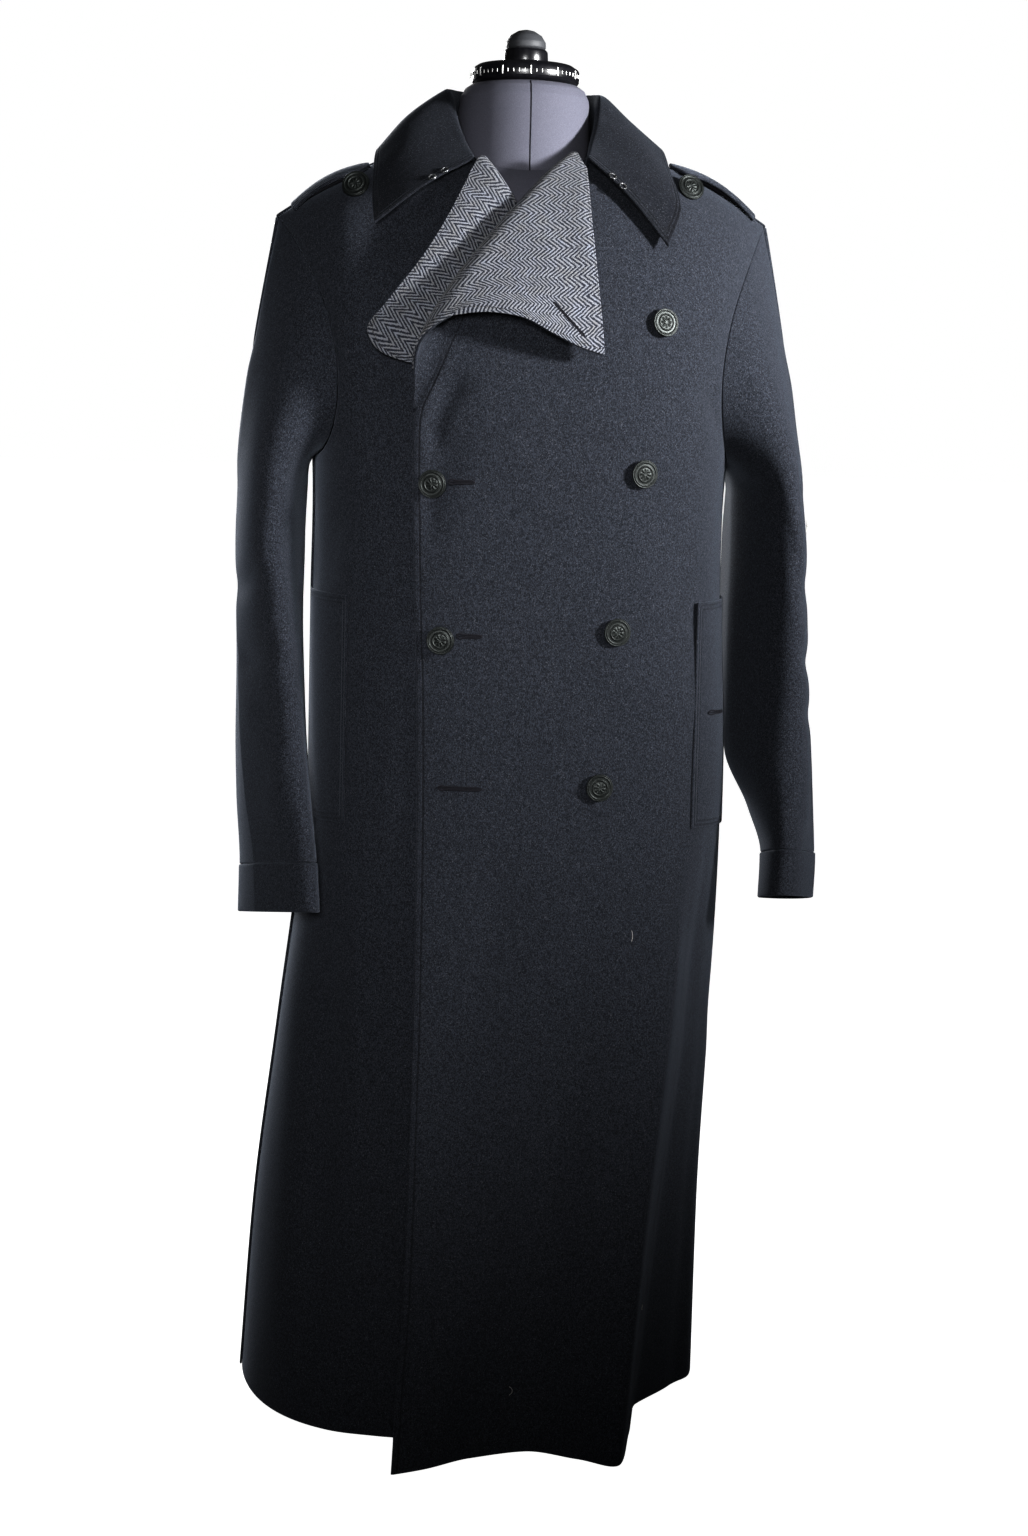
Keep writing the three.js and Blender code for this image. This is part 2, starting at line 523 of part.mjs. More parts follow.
// fronts with their lapels, facings, backs
let taken = [];
for (const over of [true, false]) {
  const panel = frontGrid(over);
  const panelSolid = wall(panel, WALL, over ? -1 : 1);
  const { grid, convex } = lapelGrid(over, over ? 10 : 9);
  const lapel = sheet(grid, convex, 0, WALL);
  const front = union(panelSolid, lapel);
  add(over ? 'front_left' : 'front_right', over ? front : cut(front, ...taken), wool);
  const face = { grid: grid.map((r) => r.slice(2)), convex: convex.map((r) => r.slice(2)) };
  const gap = WALL + (over ? SEAM : SEAM + 0.15);
  const skip = over ? 3 : 6;
  const facing = sheet(face.grid.slice(skip), face.convex.slice(skip), gap, gap + FACING);
  panels.push({ grid: panel, sign: over ? -1 : 1 });
  const longer = (g) => g.map((r) => {
    const [a, b] = r.slice(-2);
    return [...r, b.clone().addScaledVector(b.clone().sub(a).normalize(), 1)];
  });
  const wide = longer(panel);
  const room = [sheet(wide, gridNormals(wide, over ? -1 : 1, false), -WALL - 0.6, 0.7),
    sheet(longer(grid), convex.map((r) => [...r, r[r.length - 1]]), -0.6, gap + 0.1)];
  add(over ? 'lapel_facing_left' : 'lapel_facing_right', over ? facing : cut(facing, ...taken), tweed);
  if (over) taken = [...room, sheet(face.grid, face.convex, gap - 0.1, gap + FACING + SEAM)];
}
for (const sign of [1, -1]) {
  const panel = backGrid(sign);
  panels.push({ grid: panel, sign: -sign });
  add(sign > 0 ? 'back_left' : 'back_right', wall(panel, WALL, -sign), wool);
}
const air = 0.45;
const skins = panels.map((q) => roomOf(q.grid, q.sign, WALL + air, air, 0.5));
const skinsWide = panels.map((q) => roomOf(q.grid, q.sign, WALL + air, 3, 0.4));
const skinsTight = panels.map((q) => roomOf(q.grid, q.sign, WALL + 0.35, 0.35, 0.4));

/** Sleeve ring point: share 0 is the inner side, a quarter the front, a half the outer side. */
function sleevePoint(rows, side, z, share, extra = 0) {
  const g = (c) => read(rows, 'z', z, c);
  const f = 2 * Math.PI * share;
  const pinch = 1 - 0.1 * Math.abs(Math.sin(2 * f));
  const lx = -side * (g('hx') + extra) * Math.cos(f) * pinch, ly = -(g('hy') + extra) * Math.sin(f);
  const turn = rad(g('turn'));
  const x = lx * Math.cos(turn) - ly * Math.sin(turn), y = lx * Math.sin(turn) + ly * Math.cos(turn);
  return V(g('cx') + x, g('cy') + y, z + g('tilt') * y);
}

function sleeveGrid(side) {
  const rows = side > 0 ? SLEEVE_RIGHT_VIEW : SLEEVE_LEFT_VIEW;
  const up = levels.up;
  const loop = [...up.map((k) => ({ k, front: true })),
    ...up.slice(1, -1).reverse().map((k) => ({ k, front: false }))];
  const pts = loop.map(({ k, front }) => {
    const a = side * (front ? 90 - armhole(k, FRONT_ARMHOLE) : 90 + armhole(k, BACK_ARMHOLE));
    return { p: body(a, k), a, k };
  });
  const n = pts.length, len = [0];
  for (let i = 1; i <= n; i++) len.push(len[i - 1] + pts[i % n].p.distanceTo(pts[i - 1].p));
  const half = up.length - 1;
  const starts = pts.map((q, i) => {
    const t = pts[(i + 1) % n].p.clone().sub(pts[(i + n - 1) % n].p).normalize();
    const nn = bodyNormal(q.a + (i === half ? -side * 4 : 0), clamp(q.k, ARM + 0.6, ARM + 96));
    nn.addScaledVector(t, -nn.dot(t)).normalize();
    const d = t.clone().cross(nn).normalize();
    const inside = pts[half].p.clone().lerp(pts[0].p, 0.5).add(V(side * 60, 0, 0)).sub(q.p);
    if (d.dot(inside) < 0) d.negate();
    const share = i <= half ? (0.5 * len[i]) / len[half]
      : 0.5 + (0.5 * (len[i] - len[half])) / (len[n] - len[half]);
    const outer = 0.5 - 0.5 * Math.cos(2 * Math.PI * share);
    const angle = rad(share === 0 ? 90 : mix(mix(88, 34, smooth(0, 0.5, outer)), 14, smooth(0.5, 1, outer)));
    const leave = d.clone().multiplyScalar(Math.cos(angle)).addScaledVector(nn, Math.sin(angle));
    return { p: q.p.clone().addScaledVector(d, SEAM + 0.2), leave, share, outer };
  });
  const grid = [];
  for (const v of [0, 0.07, 0.17, 0.3, 0.46, 0.64, 0.82]) {
    grid.push(starts.map(({ p, leave, share, outer }) => {
      const e = sleevePoint(rows, side, 905, share);
      const m0 = leave.clone().multiplyScalar(mix(16, 72, outer));
      const m1 = V(0, 0, -mix(20, 190, outer));
      const v2 = v * v, v3 = v2 * v;
      return p.clone().multiplyScalar(2 * v3 - 3 * v2 + 1).addScaledVector(m0, v3 - 2 * v2 + v)
        .addScaledVector(e, 3 * v2 - 2 * v3).addScaledVector(m1, v3 - v2);
    }));
  }
  const end = rows[1].z;
  for (const z of [905, 830, 750, 670, 610, end + SEAM]) {
    grid.push(starts.map(({ share }) => sleevePoint(rows, side, z, share)));
  }
  const cuff = [end, mix(end, rows[0].z, 0.5), rows[0].z].map((z) => starts.map(({ share }) =>
    sleevePoint(rows, side, z, share, CUFF.proud)));
  return { grid, cuff };
}

const sleeveRooms = {};
for (const side of [1, -1]) {
  const name = side > 0 ? 'left' : 'right';
  const { grid, cuff } = sleeveGrid(side);
  const out = (g) => {
    const c = g[g.length - 1].reduce((a, p) => a.add(p), V(0, 0, 0)).divideScalar(g[0].length);
    const n = gridNormals(g, 1, true);
    return n[g.length - 1][0].dot(g[g.length - 1][0].clone().sub(c)) > 0 ? 1 : -1;
  };
  const normals = gridNormals(grid, out(grid), true);
  sleeveRooms[side] = sheet(grid.slice(0, 5), normals.slice(0, 5), -WALL - 0.5, 0.5, true);
  const n = grid[0].length;
  for (const { piece, from, count } of SLEEVE_CUT) {
    const pick = (rows, copy) => rows.map((row) => Array.from({ length: count + 1 },
      (_, i) => copy(row[(from + i) % n])));
    const half = pick(grid, (p) => p.clone());
    for (const row of half) {
      const last = row.length - 1;
      const a = row[1].clone().sub(row[0]).normalize();
      const b = row[last - 1].clone().sub(row[last]).normalize();
      row[0].addScaledVector(a, SEAM / 2);
      row[last].addScaledVector(b, SEAM / 2);
    }
    add(`sleeve_${name}_${piece}`,
      cut(wall(half, WALL, 1, false, pick(normals, (p) => p)), ...skinsTight), wool);
  }
  add('cuff_' + name, wall(cuff, CUFF.thick, out(cuff), true), wool);
}

let collarRoom;
// collar: one wall that stands on the neckline and falls over its fold
function neckline() {
  const pts = [];
  const edge = (rows, sign, back) => levels.up.filter((k) => k >= ARM + 88).map((k) => {
    const x = edgeX(rows, k, sign);
    const a = angleAt(x, k);
    return body(back ? 180 - a : a, k);
  });
  const under = edge(UNDER_EDGE, -1, false).filter((p) => p.z >= 1196);
  const over = edge(OVER_EDGE, 1, false).filter((p) => p.z >= 1198);
  const backR = edge(BACK_EDGE, -1, true).filter((p) => Math.abs(p.x) > 1);
  const backL = edge(BACK_EDGE, 1, true).filter((p) => Math.abs(p.x) > 1);
  pts.push(...under, ...backR.reverse(), body(180, levelAt(0, 1209)), ...backL, ...over.reverse());
  return pts;
}
function collarGrid(cols, rowsAcross) {
  const line = neckline();
  const len = [0];
  for (let i = 1; i < line.length; i++) len.push(len[i - 1] + line[i].distanceTo(line[i - 1]));
  const grid = [];
  for (let j = 0; j <= cols; j++) {
    const s = j / cols;
    const want = s * len[len.length - 1];
    let i = 1;
    while (i < line.length - 1 && len[i] < want) i++;
    const t = clamp((want - len[i - 1]) / (len[i] - len[i - 1] || 1), 0, 1);
    const seam = line[i - 1].clone().lerp(line[i], t);
    const g = (c) => read(COLLAR, 's', s, c);
    const fold = V(g('fx'), g('fy'), g('fz')), edge = V(g('ex'), g('ey'), g('ez'));
    const out = V(fold.x - FORM.neckX, fold.y - FORM.neckY, 0).normalize();
    const leaf = edge.clone().sub(fold);
    const away = out.clone().multiplyScalar(0.8).add(V(0, 0, 0.6));
    const knots = [seam.clone().addScaledVector(out, -1).add(V(0, 0, 0.8)),
      fold.clone().addScaledVector(out, -5.5).add(V(0, 0, -7)),
      fold.clone().addScaledVector(out, -3).add(V(0, 0, -1.6)),
      fold, fold.clone().addScaledVector(leaf, 0.07).addScaledVector(away, 2),
      fold.clone().addScaledVector(leaf, 0.5).addScaledVector(away, g('belly')), edge];
    const curve = new THREE.CatmullRomCurve3(knots, false, 'centripetal');
    grid.push(curve.getSpacedPoints(rowsAcross));
  }
  return grid;
}
{
  const g = collarGrid(24, 10);
  const n = gridNormals(g, 1, false);
  const top = n[12][9].z > 0 ? 1 : -1;
  const lapels = [...taken];
  add('collar', cut(wall(g, COLLAR_WALL, top), ...skins, ...lapels), wool);
  collarRoom = sheet(g, gridNormals(g, top, false), -COLLAR_WALL - 0.7, 0.7);
}

// shoulder straps
function onShoulder(x, y) {
  let k = ARM + 90;
  for (let i = 0; i < 12; i++) {
    const r = section(k);
    const s = clamp((x - r.cx) / r.w, -0.995, 0.995), c = Math.sqrt(1 - s * s);
    const front = y < r.cy, round = front ? FRONT_ROUND : BACK_ROUND;
    const depth = (front ? r.front : r.back) * c * (1 + r.square * s * s);
    const e = clamp(Math.abs(y - r.cy) / depth, 0, 1);
    k = ARM + 100 * Math.pow(Math.max(0, 1 - Math.pow(e, round)), 1 / round);
  }
  return V(x, y, ARM + ((k - ARM) / 100) * (shoulderLine(x) - ARM));
}
for (const side of [1, -1]) {
  const grid = [];
  for (let i = 0; i <= 10; i++) {
    const f = i / 10;
    const row = [];
    for (let j = -2; j <= 2; j++) {
      const w = (j / 2) * STRAP.half * (f > 0.86 ? mix(1, 0.45, (f - 0.86) / 0.14) : 1);
      const y = mix(STRAP.endY, STRAP.tipY, f) + w;
      const end = (side > 0 ? STRAP.endLeft : STRAP.endRight) - 12 * smooth(5, 45, Math.abs(y));
      row.push(onShoulder(side * mix(end, side > 0 ? STRAP.tipLeft : STRAP.tipRight, f), y));
    }
    grid.push(row);
  }
  const n = gridNormals(grid, 1, false);
  const up = n[5][2].z > 0 ? 1 : -1;
  const nn = gridNormals(grid, up, false);
  grid.forEach((row, i) => row.forEach((p, j) => p.addScaledVector(nn[i][j], STRAP.bow * Math.sin(Math.PI * i / 10))));
  add(side > 0 ? 'shoulder_strap_left' : 'shoulder_strap_right',
    cut(sheet(grid, nn, 0.1, air + STRAP.thick), ...skins, collarRoom, sleeveRooms[side]), wool);
}

// side pocket flaps
for (const side of [1, -1]) {
  const grid = [];
  for (let i = 0; i <= 4; i++) {
    const z = mix(FLAP.low, FLAP.high, i / 4);
    const a0 = angleAt(side > 0 ? FLAP.rightX : FLAP.leftX, z);
    const row = [];
    for (let j = 0; j <= 8; j++) {
      row.push(body(a0 + side * 34 * (j / 8), z - 8 * (j / 8) * (1 - i / 4), side > 0));
    }
    grid.push(row);
  }
  const n = gridNormals(grid, 1, false);
  const out = n[2][4].dot(V(side, -0.6, 0)) > 0 ? 1 : -1;
  add(side > 0 ? 'pocket_flap_left' : 'pocket_flap_right',
    cut(sheet(grid, gridNormals(grid, out, false), -2, air + FLAP.thick), ...skins), wool);
}

// wire hooks and eyes at the collar's front ends
const FASTENERS = [
  { name: 'collar_eye_upper', col: 0, across: 6, shift: 3 },
  { name: 'collar_eye_lower', col: 0, across: 5, shift: 3 },
  { name: 'collar_hook_upper', col: 24, across: 5, shift: 3 },
  { name: 'collar_hook_lower', col: 24, across: 6, shift: 3 },
];
for (const f of FASTENERS) {
  const g = collarGrid(24, 10);
  const inner = g[f.col === 0 ? 1 : 23][f.across];
  const p = g[f.col][f.across].clone().lerp(inner, 0.35);
  const n0 = gridNormals(g, 1, false)[f.col][f.across];
  const n = n0.y > 0 ? n0.negate() : n0;
  const ring = mergeVertices(cleared(new THREE.TorusGeometry(3.2, 0.8, 5, 10)), 1e-3);
  add(f.name, place(ring, p.addScaledVector(n, 0.8 + SEAM), n), wire);
}

// buttons with a shank, raised rings on the face
const BUTTON = [[0, 0], [2.6, 0], [2.6, 3.6], [BUTTON_R, 5.2], [BUTTON_R - 0.4, 7], [7, 7.3], [0, 7.7]];
function lathe(points, segments) {
  const profile = points.map(([r, z]) => new THREE.Vector2(r, z));
  const turned = new THREE.LatheGeometry(profile, segments).rotateX(Math.PI / 2);
  return mergeVertices(cleared(turned), 1e-3);
}
function cleared(g) {
  g.deleteAttribute('uv');
  g.deleteAttribute('normal');
  return g;
}
function place(g, p, n) {
  const q = new THREE.Quaternion().setFromUnitVectors(V(0, 0, 1), n);
  return outward(g.applyQuaternion(q).translate(p.x, p.y, p.z));
}
function outward(g) {
  const keep = [];
  const ix = Array.from(g.index.array);
  for (let i = 0; i < ix.length; i += 3) {
    const [a, b, c] = ix.slice(i, i + 3);
    if (a !== b && b !== c && a !== c) keep.push(a, b, c);
  }
  g.setIndex(volume(Array.from(g.attributes.position.array), keep) < 0 ? flip(keep) : keep);
  return g;
}
for (const b of BUTTONS) {
  const { p, n } = chest(b.x, b.z);
  add(b.name, cut(place(lathe(BUTTON, 16), p.clone().addScaledVector(n, -0.6), n), ...skins), pewter);
}
for (const side of [1, -1]) {
  const [x, y] = side > 0 ? STRAP.buttonLeft : STRAP.buttonRight;
  const p = onShoulder(x, y), u = onShoulder(x + 1, y).sub(onShoulder(x - 1, y));
  const n = u.cross(onShoulder(x, y + 1).sub(onShoulder(x, y - 1))).normalize();
  const lean = n.clone().add(V(0, -STRAP.lean, 0)).normalize();
  add(side > 0 ? 'strap_button_left' : 'strap_button_right',
    cut(place(lathe(BUTTON, 16), p.addScaledVector(n, 0.2), lean), ...skins, collarRoom), pewter);
}

// dress form: smooth torso and neck, closed where the limbs would be
function torso() {
  const ks = [600, 720, 840, 905, ...levels.up.slice(1, -1), ARM + 99.97];
  const m = 16;
  const ring = (k, front) => {
    const t = clamp((k - ARM) / 100, 0, 1);
    const row = [];
    for (let i = 0; i <= m; i++) {
      const f = -90 + (180 * i) / m;
      const a = front ? f : 180 - f;
      const p = body(a, k);
      const near = smooth(0.8, 0.97, t) * smooth(95, 135, Math.abs(p.x));
      const far = front ? FORM.clear : mix(FORM.backClear, FORM.clear, Math.abs(f) / 90);
      const n = bodyNormal(clamp(a, front ? -86 : 94, front ? 86 : 266), Math.min(k, ARM + 97));
      const side = Math.abs(f) === 90 ? V(Math.sign(f), 0, 0) : n;
      const drop = k > ARM ? mix(far, WALL + FORM.seat, near) : far;
      const tip = Math.abs(f) === 90;
      row.push(tip ? p.addScaledVector(side, -mix(far, 9, near)) : p.addScaledVector(n, -drop));
      if (k <= ARM) row[i].z = k;
    }
    return row;
  };
  const tri = [];
  const quad = (a, b, c, d) => tri.push(a, b, c, a, c, d);
  const F = ks.map((k) => ring(k, true)), B = ks.map((k) => ring(k, false));
  for (let j = 0; j < ks.length; j++) { B[j][0] = F[j][0]; B[j][m] = F[j][m]; }
  for (let j = 0; j < ks.length - 1; j++) {
    for (let i = 0; i < m; i++) {
      quad(F[j][i], F[j][i + 1], F[j + 1][i + 1], F[j + 1][i]);
      quad(B[j][i + 1], B[j][i], B[j + 1][i], B[j + 1][i + 1]);
    }
  }
  const top = ks.length - 1;
  for (let i = 0; i < m; i++) {
    quad(F[top][i], F[top][i + 1], B[top][i + 1], B[top][i]);
    quad(F[0][i + 1], F[0][i], B[0][i], B[0][i + 1]);
  }
  const g = new THREE.BufferGeometry();
  g.setAttribute('position', new THREE.Float32BufferAttribute(tri.flatMap((p) => [p.x, p.y, p.z]), 3));
  return outward(mergeVertices(g, 1e-3));
}
function turned(rows, x, y, segments = 28) {
  const pts = [[0, rows[0].z], ...rows.map((r) => [r.r, r.z]), [0, rows[rows.length - 1].z]];
  return outward(lathe(pts, segments).translate(x, y, 0));
}
const neck = turned(NECK, FORM.neckX, FORM.neckY, 28);
add('form_torso', cut(union(torso(), neck), ...skinsWide), formCloth);
add('form_dial', turned(DIAL, FORM.neckX, FORM.neckY, 28), black);
add('form_knob_base', turned(KNOB_BASE, FORM.neckX, FORM.neckY, 20), black);
add('form_knob', turned(KNOB, FORM.neckX, FORM.neckY, 20), formCloth);
add('stand_pole', turned(POLE, STAND.x, STAND.y, 20), steel);
add('stand_base', turned(BASE, STAND.x, STAND.y, 36), steel);

export default group;
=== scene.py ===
"""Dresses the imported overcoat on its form: cloth panels, lapels, collar, buttons and stand.

Lengths are millimetres in the tables and arrays, and metres once a mesh is made. The front
faces -Y, the wearer's left is +X, and +Z is up.
"""

from __future__ import annotations

import logging
from dataclasses import dataclass, field
from enum import Enum
from typing import Union

import bpy
import numpy as np
from mathutils import Matrix

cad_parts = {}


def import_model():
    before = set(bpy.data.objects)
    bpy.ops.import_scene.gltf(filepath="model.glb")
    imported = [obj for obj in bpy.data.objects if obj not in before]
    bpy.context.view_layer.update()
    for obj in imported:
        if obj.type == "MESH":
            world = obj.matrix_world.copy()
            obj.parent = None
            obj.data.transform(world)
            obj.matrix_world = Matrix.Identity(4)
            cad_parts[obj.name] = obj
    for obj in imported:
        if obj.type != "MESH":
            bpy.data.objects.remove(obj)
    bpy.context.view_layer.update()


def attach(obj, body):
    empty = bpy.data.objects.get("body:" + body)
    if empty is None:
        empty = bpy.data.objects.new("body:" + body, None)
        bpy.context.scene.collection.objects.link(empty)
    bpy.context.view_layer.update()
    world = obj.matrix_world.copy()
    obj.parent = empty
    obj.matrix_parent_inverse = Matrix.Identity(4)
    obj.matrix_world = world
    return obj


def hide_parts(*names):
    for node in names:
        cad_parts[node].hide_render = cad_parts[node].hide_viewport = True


LOG = logging.getLogger("overcoat")
MM = 0.001
Array = np.ndarray
ROOT = "root"
Socket = bpy.types.NodeSocket
Source = Union[Socket, float, tuple[float, ...]]
Tone = tuple[float, float, float]
WHITE = (1.0, 1.0, 1.0, 1.0)


# Numbers and curves.
def table(*rows: tuple[float, ...]) -> Array:
    """A short table of rows as a float array."""
    return np.array(rows, float)


def smooth(low: float, high: float, value: Array) -> Array:
    """Soft step: 3t^2 - 2t^3 of the clamped share of the way from low to high."""
    t = np.clip((value - low) / (high - low), 0.0, 1.0)
    return t * t * (3 - 2 * t)


def mix(a: Array, b: Array, t: Array) -> Array:
    """Straight blend from a to b."""
    return a + (b - a) * t


def unit(v: Array) -> Array:
    """Vectors at length one."""
    return v / np.maximum(np.linalg.norm(v, axis=-1, keepdims=True), 1e-9)


def read(rows: Array, at: Array, shear: Array | None = None) -> Array:
    """Reads a table by a smooth curve that never overshoots its rows.

    Between two rows the value is a cubic with harmonic-mean slopes at both ends.

    Args:
        rows: table whose first column is the rising key.
        at: keys wanted, any shape.
        shear: optional shift of every key, shape (rows, *at.shape).
    Returns:
        values with one last axis for the other columns.
    """
    at = np.asarray(at, float)
    count = len(rows)
    keys = rows[:, 0].reshape(count, *([1] * at.ndim))
    keys = np.broadcast_to(keys + (0 if shear is None else shear), (count, *at.shape))
    values = rows[:, 1:].reshape(count, *([1] * at.ndim), rows.shape[1] - 1)
    step = np.diff(keys, axis=0)[..., None]
    slope = np.diff(values, axis=0) / step
    before, after = slope[:-1], slope[1:]
    total = before + after
    safe = np.where(np.abs(total) < 1e-12, 1.0, total)
    inner = np.where(before * after <= 0, 0.0, 2 * before * after / safe)
    tangent = np.concatenate([slope[:1], inner, slope[-1:]])
    x = np.clip(at, keys[0], keys[-1])
    i = np.clip((keys < x).sum(0) - 1, 0, count - 2)[None, ..., None]
    values = np.broadcast_to(values, (*keys.shape, rows.shape[1] - 1))

    def pick(source: Array, index: Array) -> Array:
        """Takes one row of the source for every wanted key."""
        return np.take_along_axis(source, index, 0)[0]

    k0 = pick(keys[..., None], i)
    h = pick(step, i)
    t = (x[..., None] - k0) / h
    t2, t3 = t * t, t * t * t
    return (
        (2 * t3 - 3 * t2 + 1) * pick(values, i)
        + (t3 - 2 * t2 + t) * h * pick(tangent, i)
        + (3 * t2 - 2 * t3) * pick(values, i + 1)
        + (t3 - t2) * h * pick(tangent, i + 1)
    )


def lengths(path: Array) -> Array:
    """Length along axis -2 of paths of points, starting at 0."""
    step = np.linalg.norm(np.diff(path, axis=-2), axis=-1)
    zero = np.zeros((*step.shape[:-1], 1))
    return np.concatenate([zero, np.cumsum(step, axis=-1)], axis=-1)


def respaced(path: Array, share: Array, carried: Array | None = None) -> Array:
    """Points of each path at shares of its length.

    Args:
        path: (rows, points, 3).
        share: shares from 0 to 1, (count,).
        carried: values to read at those places instead of the points, (rows, points, n).
    Returns:
        (rows, count, 3), or the carried values there.
    """
    run = lengths(path)
    want = share[None, :] * run[:, -1:]
    i = np.clip((run[:, None, :] < want[..., None]).sum(-1) - 1, 0, path.shape[1] - 2)
    a = np.take_along_axis(run, i, 1)
    b = np.take_along_axis(run, i + 1, 1)
    t = np.clip((want - a) / np.maximum(b - a, 1e-9), 0, 1)[..., None]
    rows = np.arange(len(path))[:, None]
    source = path if carried is None else carried
    return source[rows, i] * (1 - t) + source[rows, i + 1] * t


def spline(knots: Array, steps: int) -> Array:
    """Curves through knots whose pace follows the square root of each chord.

    Args:
        knots: (curves, knots, 3).
        steps: points per span.
    Returns:
        (curves, points, 3).
    """
    first = 2 * knots[:, :1] - knots[:, 1:2]
    last = 2 * knots[:, -1:] - knots[:, -2:-1]
    p = np.concatenate([first, knots, last], axis=1)
    pace = np.sqrt(np.linalg.norm(np.diff(p, axis=1), axis=-1, keepdims=True))
    d0, d1, d2 = pace[:, :-2], pace[:, 1:-1], pace[:, 2:]
    a, b, c, d = p[:, :-3], p[:, 1:-2], p[:, 2:-1], p[:, 3:]
    m1 = ((b - a) / d0 - (c - a) / (d0 + d1) + (c - b) / d1) * d1
    m2 = ((c - b) / d1 - (d - b) / (d1 + d2) + (d - c) / d2) * d1
    t = (np.arange(steps) / steps)[None, None, :, None]
    b, c, m1, m2 = (q[:, :, None] for q in (b, c, m1, m2))
    t2, t3 = t * t, t * t * t
    spans = (
        (2 * t3 - 3 * t2 + 1) * b
        + (t3 - 2 * t2 + t) * m1
        + (3 * t2 - 2 * t3) * c
        + (t3 - t2) * m2
    )
    flat = spans.reshape(len(knots), -1, 3)
    return np.concatenate([flat, knots[:, -1:]], axis=1)


def edged(count: int, width: float, low: bool = True, high: bool = True) -> Array:
    """Shares from 0 to 1, close together at the chosen ends so that a cloth edge can round off.

    Args:
        count: cells in the even part.
        width: width in millimetres that the shares cover.
        low: crowd the start.
        high: crowd the end.
    """
    near = np.array([0.0, 0.35, 0.9, 1.7]) / width
    even = np.linspace(0, 1, count + 1)
    middle = even[(even > 2.6 / width) & (even < 1 - 2.6 / width)]
    return np.concatenate(
        [near if low else [0.0], middle, 1 - near[::-1] if high else [1.0]]
    )


def relaxed(grid: Array, passes: int) -> Array:
    """Evens a grid across its rows: an inner row becomes (row before + 2 row + row after) / 4."""
    for _ in range(passes):
        inner = (grid[:-2] + 2 * grid[1:-1] + grid[2:]) / 4
        grid = np.concatenate([grid[:1], inner, grid[-1:]])
    return grid


def grid_normals(grid: Array, closed: bool = False) -> Array:
    """Unit normals of a grid of points: the step along a row crossed with the step up a column."""
    if closed:
        along = np.roll(grid, -1, 1) - np.roll(grid, 1, 1)
    else:
        along = np.empty_like(grid)
        along[:, 1:-1] = grid[:, 2:] - grid[:, :-2]
        along[:, 0] = grid[:, 1] - grid[:, 0]
        along[:, -1] = grid[:, -1] - grid[:, -2]
    up = np.empty_like(grid)
    up[1:-1] = grid[2:] - grid[:-2]
    up[0] = grid[1] - grid[0]
    up[-1] = grid[-1] - grid[-2]
    return unit(np.cross(along, up))


# Meshes.
def quads(rows: int, cols: int, closed: bool = False) -> Array:
    """Four-sided faces of a grid of rows by cols points."""
    j, i = np.meshgrid(np.arange(rows - 1), np.arange(cols if closed else cols - 1), indexing="ij")
    n = (i + 1) % cols
    corners = [j * cols + i, j * cols + n, (j + 1) * cols + n, (j + 1) * cols + i]
    return np.stack(corners, -1).reshape(-1, 4)


def rises(grid: Array) -> Array:
    """Length of the way up each column of a grid, from its first row."""
    return np.swapaxes(lengths(np.swapaxes(grid, 0, 1)), 0, 1)


def placed(name: str, data: bpy.types.ID) -> bpy.types.Object:
    """An object made from its data and linked to the scene."""
    obj = bpy.data.objects.new(name, data)
    bpy.context.scene.collection.objects.link(obj)
    return obj


def stance(right: Array, up: Array, back: Array, place: Array) -> Matrix:
    """World matrix of an object that looks against its third axis, at a place in metres."""
    matrix = np.eye(4)
    matrix[:3, :3] = np.stack([right, up, back], 1)
    matrix[:3, 3] = place
    return Matrix(matrix.tolist())


def volume(points: Array, faces: Array) -> float:
    """Signed volume, from the first three corners and the last one of each face."""
    a, b, c, d = (points[faces[:, k]] for k in range(4))
    return float((a * (np.cross(b, c) + np.cross(c, d))).sum())


